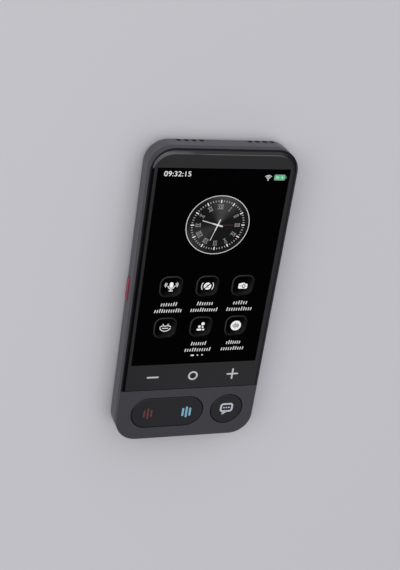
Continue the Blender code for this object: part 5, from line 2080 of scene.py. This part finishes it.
@dataclass
class StatusBar(Picture):
    """The row at the top of the picture: plain figures, a signal fan and a charge symbol.

    The bolt's corners and the bars are given in shares of the charge symbol's size, from its middle.
    """

    figures_centre: Spot = (-0.0183, 0.0528)
    figures_size: Spot = (0.0104, 0.0020)
    figures_weight: float = 0.004
    signal: Spot = (0.0176, 0.0508)
    fan_radii: tuple[float, ...] = (0.0007, 0.00125, 0.0018)
    fan_width: float = 0.0003
    cell: Spot = (0.0222, 0.0518)
    cell_size: Spot = (0.0046, 0.0024)
    cell_line: float = 0.00028
    bolt: tuple[tuple[Spot, ...], ...] = (
        ((0.25, 0.36), (0.12, -0.05), (0.22, -0.02)), ((0.20, -0.36), (0.33, 0.06), (0.22, 0.04)),
    )
    bars: tuple[float, ...] = (-0.3, -0.2, -0.1)
    bar_size: Spot = (0.05, 0.42)

    def build(self) -> None:
        """Draws the row."""
        width, height = self.cell_size
        line = self.cell_line
        row = self.layer(1).figures("09:32:15", self.figures_centre, self.figures_size, self.figures_weight)
        self.place(row, "time_figures", 235)
        fan = self.layer(1).disc(self.signal, self.fan_width, 24)
        for radius in self.fan_radii:
            fan.arc(self.signal, radius, self.fan_width, 45, 135)
        self.place(fan, "signal_fan", 215)
        case = self.layer(1, self.cell).outline((0, 0), self.cell_size, line * 2.2, line)
        case.plate((width / 2 + line, 0), (line, height * 0.4), line / 2)
        self.place(case, "charge_case", 140, (0.85, 1.0, 0.93))
        fill = self.layer(1, self.cell).plate((0, 0), (width - line * 2, height - line * 2), line)
        self.place(fill, "charge_fill", 185, (0.46, 1.0, 0.76))
        bolt = self.layer(2, self.cell)
        for half in self.bolt:
            bolt.corners(*[(width * across, height * up) for across, up in half])
        for share in self.bars:
            size = (width * self.bar_size[0], height * self.bar_size[1])
            bolt.plate((width * share, 0), size, size[0] * 0.4)
        self.place(bolt, "charge_bolt", 235, (0.85, 1.0, 0.9))


@dataclass(frozen=True)
class Hand:
    """One clock hand: its name, its clock bearing, how far it reaches out and back, and its width."""

    name: str
    bearing: float
    reach: float
    tail: float
    width: float


@dataclass
class ClockFace(Picture):
    """The clock: its ring, ticks, numerals and hands. All but its radius is given in shares of that."""

    centre: Spot = (0.00045, 0.0323)
    radius: float = 0.01238
    shape: Spot = (1.014, 0.966)
    face_level: float = 66
    ring: float = 0.021
    hour_ticks: Triple = (0.757, 0.862, 0.036)
    minute_ticks: Triple = (0.795, 0.848, 0.026)
    numerals: tuple[str, ...] = ("XII", "I", "II", "III", "IV", "V", "VI", "VII", "VIII", "IX", "X", "XI")
    numeral_reach: float = 0.625
    numeral_height: float = 0.142
    sign_widths: tuple[tuple[str, float], ...] = (("I", 0.3), ("V", 0.62), ("X", 0.66))
    thick_share: float = 0.12
    serif: float = 0.014
    second_hand: tuple[float, float, float, float] = (90, 0.13, 0.5, 0.022)
    hands: tuple[Hand, ...] = (Hand("hour", 287, 0.52, 0.155, 0.028), Hand("minute", 198, 0.55, 0.19, 0.022))
    root_share: float = 1.7
    hub: float = 0.038

    def on_dial(self, number: float) -> Flat:
        """A new drawing that is counted from the clock's centre, in its radius."""
        return self.layer(number, self.centre, self.radius)

    def place(self, drawing: Flat, name: str, level: float, tint: Colour = WHITE) -> None:
        """Makes a drawing a lit piece of the clock, in the clock's slightly wide shape."""
        super().place(drawing.scaled(self.shape), name, level, tint)

    def at(self, bearing: float, reach: float) -> Vector:
        """The place at a clock bearing in degrees."""
        angle = math.radians(90 - bearing)
        return Vector((math.cos(angle), math.sin(angle))) * reach

    def build(self) -> None:
        """Draws the clock from its face up."""
        face = self.on_dial(1).disc((0, 0), 1.0, TURN_STEPS).scaled(self.shape)
        finish = DialFace("dial_face", shade(self.face_level), self.roughness, self.centre, self.radius)
        face.piece("clock_face", finish, Slot.SCREEN)
        self.place(self.on_dial(2).arc((0, 0), 1.0, self.ring), "clock_ring", 218)
        self.add_ticks("clock_hour_ticks", self.hour_ticks, range(0, 60, 5), 232)
        self.add_ticks("clock_minute_ticks", self.minute_ticks, [i for i in range(60) if i % 5], 165)
        drawing = self.on_dial(2)
        for i, numeral in enumerate(self.numerals):
            self.add_numeral(drawing, numeral, 30 * i)
        self.place(drawing, "clock_numerals", 150)
        self.add_hands()

    def add_ticks(self, name: str, tick: Triple, minutes: Iterable[int], level: float) -> None:
        """Draws the ticks of some minutes.

        Args:
            name: The piece's name.
            tick: A tick's inner end, outer end and width.
            minutes: The minutes that get one.
            level: Their display level.
        """
        inner, outer, width = tick
        drawing = self.on_dial(2)
        for i in minutes:
            drawing.stroke(self.at(6 * i, inner), self.at(6 * i, outer), width, 0.0)
        self.place(drawing, name, level)

    def add_numeral(self, drawing: Flat, numeral: str, bearing: float) -> None:
        """Draws one numeral from straight strokes between two thin lines, its feet towards the middle.

        Args:
            drawing: Where it is drawn.
            numeral: Its signs, from left to right.
            bearing: Its clock bearing in degrees.
        """
        half = self.numeral_height / 2
        widths = {sign: self.numeral_height * share for sign, share in self.sign_widths}
        thick = self.numeral_height * self.thick_share
        total = sum(widths[sign] for sign in numeral)
        middle, outwards = self.at(bearing, self.numeral_reach), self.at(bearing, 1.0)
        along = Vector((outwards.y, -outwards.x))

        def line(start: Spot, end: Spot, width: float) -> None:
            """Draws a stroke between two places in the numeral's own frame, counted from its left side."""
            ends = [middle + along * (across - total / 2) + outwards * up for across, up in (start, end)]
            drawing.stroke(*ends, width, 0.0)

        start = 0.0
        for sign in numeral:
            left, right = start + thick * 0.6, start + widths[sign] - thick * 0.6
            mid = start + widths[sign] / 2
            if sign == "I":
                line((mid, -half), (mid, half), thick)
            else:
                feet = (mid, mid) if sign == "V" else (right, left)
                line((left, half), (feet[0], -half), thick)
                line((right, half), (feet[1], -half), thick / 2)
            start += widths[sign]
        for side in (-half, half):
            line((0.0, side), (total, side), self.serif)

    def add_hands(self) -> None:
        """The second, hour and minute hands, each of the last two with a thicker root, and the hub."""
        bearing, start, end, width = self.second_hand
        second = self.on_dial(3).stroke(self.at(bearing, start), self.at(bearing, end), width)
        self.place(second, "clock_second_hand", 80, (1.0, 0.56, 0.62))
        for i, hand in enumerate(self.hands):
            back = self.at(hand.bearing + 180, hand.tail)
            for number, part, reach, width, level in (
                (4, "hand", hand.reach, hand.width, 205),
                (5, "root", hand.tail, hand.width * self.root_share, 215),
            ):
                drawing = self.on_dial(number + 2 * i).stroke(back, self.at(hand.bearing, reach), width)
                self.place(drawing, f"clock_{hand.name}_{part}", level)
        self.place(self.on_dial(8).disc((0, 0), self.hub, 32), "clock_hub", 225)


@dataclass(frozen=True)
class Sign:
    """One lit layer of a pictogram. Each stroke is a method of Flat and what it gets, in units."""

    name: str
    strokes: tuple[tuple[Any, ...], ...]
    level: float = 245
    layer: int = 3


PICTOGRAMS = {
    "microphone": (Sign("microphone", (
        (Flat.plate, (0, 1.8), (3.4, 5.6), 1.7), (Flat.arc, (0, 0.9), 2.9, 0.7, 180, 360),
        (Flat.stroke, (0, -2), (0, -3.6), 0.8, 0.0), (Flat.stroke, (-1.6, -4), (1.6, -4), 0.8),
        (Flat.arc, (-2.1, 2), 2.4, 0.6, 140, 220), (Flat.arc, (-2.1, 2), 3.8, 0.6, 145, 215),
        (Flat.arc, (2.1, 2), 2.4, 0.6, -40, 40), (Flat.arc, (2.1, 2), 3.8, 0.6, -35, 35),
    )),),
    "muted": (
        Sign("muted", (
            (Flat.disc, (0, 0), 3.5), (Flat.arc, (0, 0), 5.6, 0.65, -38, 38),
            (Flat.arc, (0, 0), 5.6, 0.65, 142, 218),
        )),
        Sign("muted_slash", (
            (Flat.stroke, (-2.9, -2.6), (2.9, 2.6), 1.15), (Flat.stroke, (-1.9, 1.1), (0.3, 1.1), 0.6),
            (Flat.stroke, (0, -1.3), (1.7, -1.3), 0.5),
        ), 12, 4),
    ),
    "camera": (
        Sign("camera", (
            (Flat.plate, (0, -0.8), (8.6, 4.8), 1.0), (Flat.plate, (-0.2, 1.9), (3.6, 1.4), 0.6),
            (Flat.plate, (-3.0, 1.8), (1.4, 0.7), 0.3),
        )),
        Sign("camera_lens", (
            (Flat.arc, (0.8, -0.7), 1.4, 0.85), (Flat.stroke, (-3, -0.5), (-1.6, -0.5), 0.6),
        ), 22, 4),
    ),
    "lips": (Sign("lips", (
        (Flat.arc, (0, 2.2), 5.6, 0.7, 206, 334), (Flat.arc, (-2, -1.9), 4.1, 0.7, 62, 142),
        (Flat.arc, (2, -1.9), 4.1, 0.7, 38, 118), (Flat.stroke, (-2.6, -0.4), (2.6, -0.4), 0.7),
        (Flat.stroke, (-1.872, 3), (-2.6, 3.9), 0.6), (Flat.stroke, (1.872, 3), (2.6, 3.9), 0.6),
    )),),
    "people": (Sign("people", (
        (Flat.disc, (-1.5, 0.2), 1.3, 24), (Flat.plate, (-1.5, -2.9), (4.6, 1.9), 0.9),
        (Flat.disc, (1.7, -0.5), 0.9, 24), (Flat.plate, (2.5, -3), (2, 1.8), 0.8),
        (Flat.disc, (1.6, 3), 1.6, 32), (Flat.corners, (0.4, 2.2), (0.6, 1), (1.6, 1.6)),
    )),),
    "recording": (
        Sign("recording", ((Flat.disc, (0, 0), 5),)),
        Sign("recording_wave", tuple(
            (Flat.stroke, (1.15 * (i - 2.5), -share), (1.15 * (i - 2.5), share), 0.66)
            for i, share in enumerate((0.8, 1.9, 3.0, 1.5, 2.5, 0.9))
        ), 16, 4),
    ),
}


@dataclass
class AppGrid(Picture):
    """Six tiles with pictograms, rows of short strokes under them, and the page marks."""

    columns: tuple[float, ...] = (-0.01445, 0.0003, 0.0150)
    rows: tuple[float, ...] = (0.0065, -0.0114)
    tile: Spot = (0.0093, 0.0090)
    units_across: float = 21.5
    corner: float = 0.0031
    border: float = 0.0005
    sheen_reach: float = 0.0047
    caption_drops: Spot = (0.0075, 0.0103)
    caption_widths: tuple[tuple[float, ...], ...] = (
        (0.0069, 0.0114), (0.0069, 0.0114), (0.0063, 0.0110), (), (0.0066, 0.0112), (0.0064, 0.0100),
    )
    caption_height: float = 0.0013
    stroke_pitch: float = 0.00098
    stroke_width: float = 0.00042
    stroke_shares: tuple[float, ...] = (0.7, 1.0, 0.66, 0.72, 0.94, 0.68, 0.74)
    slant: float = 0.2
    page_level: float = -0.0243
    page_places: tuple[float, ...] = (-0.0014, 0.00075, 0.0027)
    dash_share: float = 1.35
    dot: float = 0.00062

    def build(self) -> None:
        """Draws every tile with its pictogram, then the strokes under them and the page marks."""
        for i, (name, signs) in enumerate(PICTOGRAMS.items()):
            centre = (self.columns[i % 3], self.rows[i // 3])
            lit = (self.roughness, centre, self.sheen_reach)
            face = self.layer(1, centre).plate((0, 0), self.tile, self.corner)
            glass = TileFace(f"tile_face_{name}", shade(46), *lit)
            face.piece(f"tile_{name}", glass, Slot.SCREEN)
            edge = self.layer(2, centre).outline((0, 0), self.tile, self.corner, self.border)
            line = TileBorder(f"tile_border_{name}", shade(52), *lit)
            edge.piece(f"tile_edge_{name}", line, Slot.SCREEN)
            for sign in signs:
                drawing = self.layer(sign.layer, centre, self.tile[0] / self.units_across)
                for method, *given in sign.strokes:
                    method(drawing, *given)
                self.place(drawing, f"sign_{sign.name}", sign.level)
        self.add_captions()
        self.add_page_marks()

    def add_captions(self) -> None:
        """Rows of short slanted strokes under the tiles."""
        drawing = self.layer(1)
        for i, widths in enumerate(self.caption_widths):
            for row, (drop, width) in enumerate(zip(self.caption_drops, widths)):
                foot = self.rows[i // 3] - drop - self.caption_height / 2
                count = round(width / self.stroke_pitch)
                for k in range(count):
                    x = self.columns[i % 3] + width * ((k + 0.5) / count - 0.5)
                    share = self.stroke_shares[(3 * k + 2 * row + i) % len(self.stroke_shares)]
                    tall = self.caption_height * share
                    drawing.stroke((x, foot), (x + tall * self.slant, foot + tall), self.stroke_width)
        self.place(drawing, "caption_strokes", 215)

    def add_page_marks(self) -> None:
        """A dash for the page that shows and two dots for the others."""
        dash, *dots = self.page_places
        reach = self.dot * self.dash_share / 2
        marks = self.layer(1, (0.0, self.page_level)).stroke((dash - reach, 0), (dash + reach, 0), self.dot)
        for x in dots:
            marks.disc((x, 0), self.dot / 2, 24)
        self.place(marks, "page_marks", 230)


@dataclass
class TouchKeys(Picture):
    """The three touch keys' signs on the glass under the screen."""

    level_y: float = -0.0338
    minus_x: float = -0.0166
    ring_x: float = 0.00027
    plus_x: float = 0.0172
    length: float = 0.0050
    line: float = 0.00072
    ring_radius: float = 0.00168
    upright_layer: float = 0.2
    finish: Finish = GlowingMark("touch_sign", (0.42, 0.42, 0.43), 0.4, glow=(0.12, 0.12, 0.125))

    def build(self) -> None:
        """Draws the minus, the ring and the plus."""
        arm = (self.length - self.line) / 2
        signs = self.layer(0, (0.0, self.level_y)).arc((self.ring_x, 0), self.ring_radius, self.line)
        for x in (self.minus_x, self.plus_x):
            signs.stroke((x - arm, 0), (x + arm, 0), self.line)
        signs.piece("touch_signs", self.finish, Slot.GUIDE)
        upright = self.layer(self.upright_layer, (self.plus_x, self.level_y))
        upright.stroke((0, -arm), (0, arm), self.line)
        upright.piece("touch_sign_upright", self.finish, Slot.GUIDE)


@dataclass(frozen=True)
class BarMark:
    """A mark of upright bars on the pill-shaped key, with the lengths and the width of its bars."""

    name: str
    centre: Spot
    lengths: tuple[float, ...]
    width: float
    finish: Finish


@dataclass
class KeyMarks:
    """The lit marks on the front keys: two of bars, and a speech bubble with three dots."""

    rise: float = 0.00001
    thickness: float = 0.00003
    spread: float = 0.0015
    bars: tuple[BarMark, ...] = (
        BarMark("red_mark", (-0.01645, -0.0508), (0.0033, 0.0050, 0.0033), 0.00072,
                GlowingMark("red_glow", (0.07, 0.016, 0.013), 0.45, glow=(0.044, 0.008, 0.008))),
        BarMark("blue_mark", (-0.00005, -0.0510), (0.0039, 0.0052, 0.0039), 0.00088,
                GlowingMark("blue_glow", (0.12, 0.2, 0.25), 0.4, glow=(0.08, 0.2, 0.28))),
    )
    bubble_size: Spot = (0.0056, 0.0042)
    bubble_lift: float = 0.0006
    bubble_corner: float = 0.0013
    bubble_line: float = 0.00078
    tail: tuple[Spot, ...] = ((-0.0012, -0.0002), (-0.0015, -0.0013), (0.0001, -0.0002))
    tail_share: float = 0.8
    dot_pitch: float = 0.0011
    dot_radius: float = 0.00036
    bubble_finish: Finish = GlowingMark("white_glow", (0.28, 0.29, 0.32), 0.4, glow=(0.217, 0.234, 0.25))

    def build(self) -> None:
        """Draws the marks of the pill-shaped key and of the round key."""
        for mark in self.bars:
            drawing = self.on_key("talk_rocker", mark.centre)
            for i, length in enumerate(mark.lengths):
                x, reach = self.spread * (i - 1), (length - mark.width) / 2
                drawing.stroke((x, -reach), (x, reach), mark.width)
            drawing.piece(mark.name, mark.finish, Slot.GUIDE, Body.ROCKER)
        x, y = Box.of("assistant_button").centre.xy
        bubble = self.on_key("assistant_button", (x, y + self.bubble_lift))
        bubble.outline((0, 0), self.bubble_size, self.bubble_corner, self.bubble_line)
        foot = (self.bubble_line - self.bubble_size[1]) / 2
        spots = [(across, foot + up) for across, up in self.tail]
        for start, end in zip(spots, spots[1:]):
            bubble.stroke(start, end, self.bubble_line * self.tail_share)
        for i in (-1, 0, 1):
            bubble.disc((i * self.dot_pitch, 0), self.dot_radius, 24)
        bubble.piece("bubble_mark", self.bubble_finish, Slot.GUIDE, Body.ROUND_KEY)

    def on_key(self, key: str, origin: Spot) -> Flat:
        """A new drawing on a key's face."""
        return Flat(Box.of(key).high.z + self.rise, self.thickness, origin)


@dataclass
class Inside:
    """The pieces whose CAD shape is kept, and the finish that each one gets."""

    def finishes(self) -> dict[Finish, Sequence[str]]:
        """Each finish, and the kept nodes that get it.

        Returns:
            The nodes' names by their finish.
        """
        return {
            Metal("plain_steel", (0.5, 0.5, 0.52), 0.32): (
                "vibration_motor", "rocker_pin", *(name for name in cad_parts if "board_screw" in name),
            ),
            Metal("tinned_sheet", (0.62, 0.62, 0.6), 0.3, scale=(0.05, 1.0, 1.0)): (
                "assistant_switch", "talk_switch_left", "talk_switch_right", "side_switch", "shield_can",
                "wireless_module", "microphone",
            ),
            SolderMask("green_board", (0.015, 0.085, 0.035), 0.35): ("main_board", "key_board"),
            SolderMask("black_board", (0.012, 0.016, 0.013), 0.4, line=(0.03, 0.04, 0.032)): (
                "side_key_board",
            ),
            Resin("moulding_resin", (0.02, 0.02, 0.02), 0.5): ("processor", "memory_chip"),
            TrackedFilm("amber_film", (0.35, 0.16, 0.04), 0.35): ("board_link_flex", "display_flex"),
            TrackedFilm("antenna_film", (0.03, 0.03, 0.03), 0.4, track=(0.3, 0.18, 0.08)): ("wifi_antenna",),
            CrinkledFoil("cell_foil", (0.35, 0.35, 0.36), 0.35): ("battery",),
            Foam("foam_tape", (0.03, 0.03, 0.03), 0.95): ("battery_pad",),
            MouldedPlastic("ivory_plastic", (0.75, 0.73, 0.68), 0.5): ("battery_connector",),
            MouldedPlastic("black_sleeve", (0.02, 0.02, 0.02), 0.45): ("battery_lead_negative",),
            MouldedPlastic("red_sleeve", (0.5, 0.03, 0.03), 0.45): ("battery_lead_positive",),
            MouldedPlastic("speaker_plastic", (0.03, 0.03, 0.032), 0.5): ("speaker_left", "speaker_right"),
            MouldedPlastic("camera_plastic", (0.025, 0.025, 0.027), 0.4): ("camera_module",),
            AcousticCloth("acoustic_cloth", (0.014, 0.014, 0.014), 0.9): (
                "speaker_mesh_left", "speaker_mesh_right",
            ),
            BlackScreen("module_black", (0.004, 0.004, 0.005), 0.3): ("display_module",),
            MilkyPlastic("milky_guide", (0.62, 0.63, 0.66), 0.35): ("touch_key_guide",),
            MilkyPlastic("white_guide", (0.6, 0.65, 0.8), 0.3): ("assistant_light_guide",),
            MilkyPlastic("blue_guide", (0.25, 0.5, 0.8), 0.3): ("blue_light_guide",),
            MilkyPlastic("red_guide", (0.5, 0.08, 0.06), 0.3): ("red_light_guide",),
            MilkyPlastic("lamp_resin", (0.8, 0.75, 0.45), 0.25): (
                "assistant_led", "blue_led", "red_led", "flash_led",
            ),
        }

    def build(self) -> None:
        """Gives every kept node its finish."""
        for finish, names in self.finishes().items():
            for name in names:
                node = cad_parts[name]
                if not node.data.materials:
                    node.data.materials.append(None)
                for slot in node.material_slots:
                    slot.link = "OBJECT"
                    slot.material = finish.material()
            LOG.info("%s: %s", finish.name, ", ".join(names))


def main() -> None:
    """Builds the studio and every sub-assembly in order."""
    logging.basicConfig(level=logging.INFO, format="%(message)s")
    bpy.context.scene.view_settings.view_transform = "Standard"
    for part in (
        Studio, BackShell, FrontFrame, CoverGlass, GapShadeTrim, TalkRocker, RoundKey, SideKey, SlotShadeCloth,
        ChargingPort, RearCamera, ScreenGround, StatusBar, ClockFace, AppGrid, TouchKeys, KeyMarks, Inside,
    ):
        part().build()


if __name__ == "__main__":
    main()
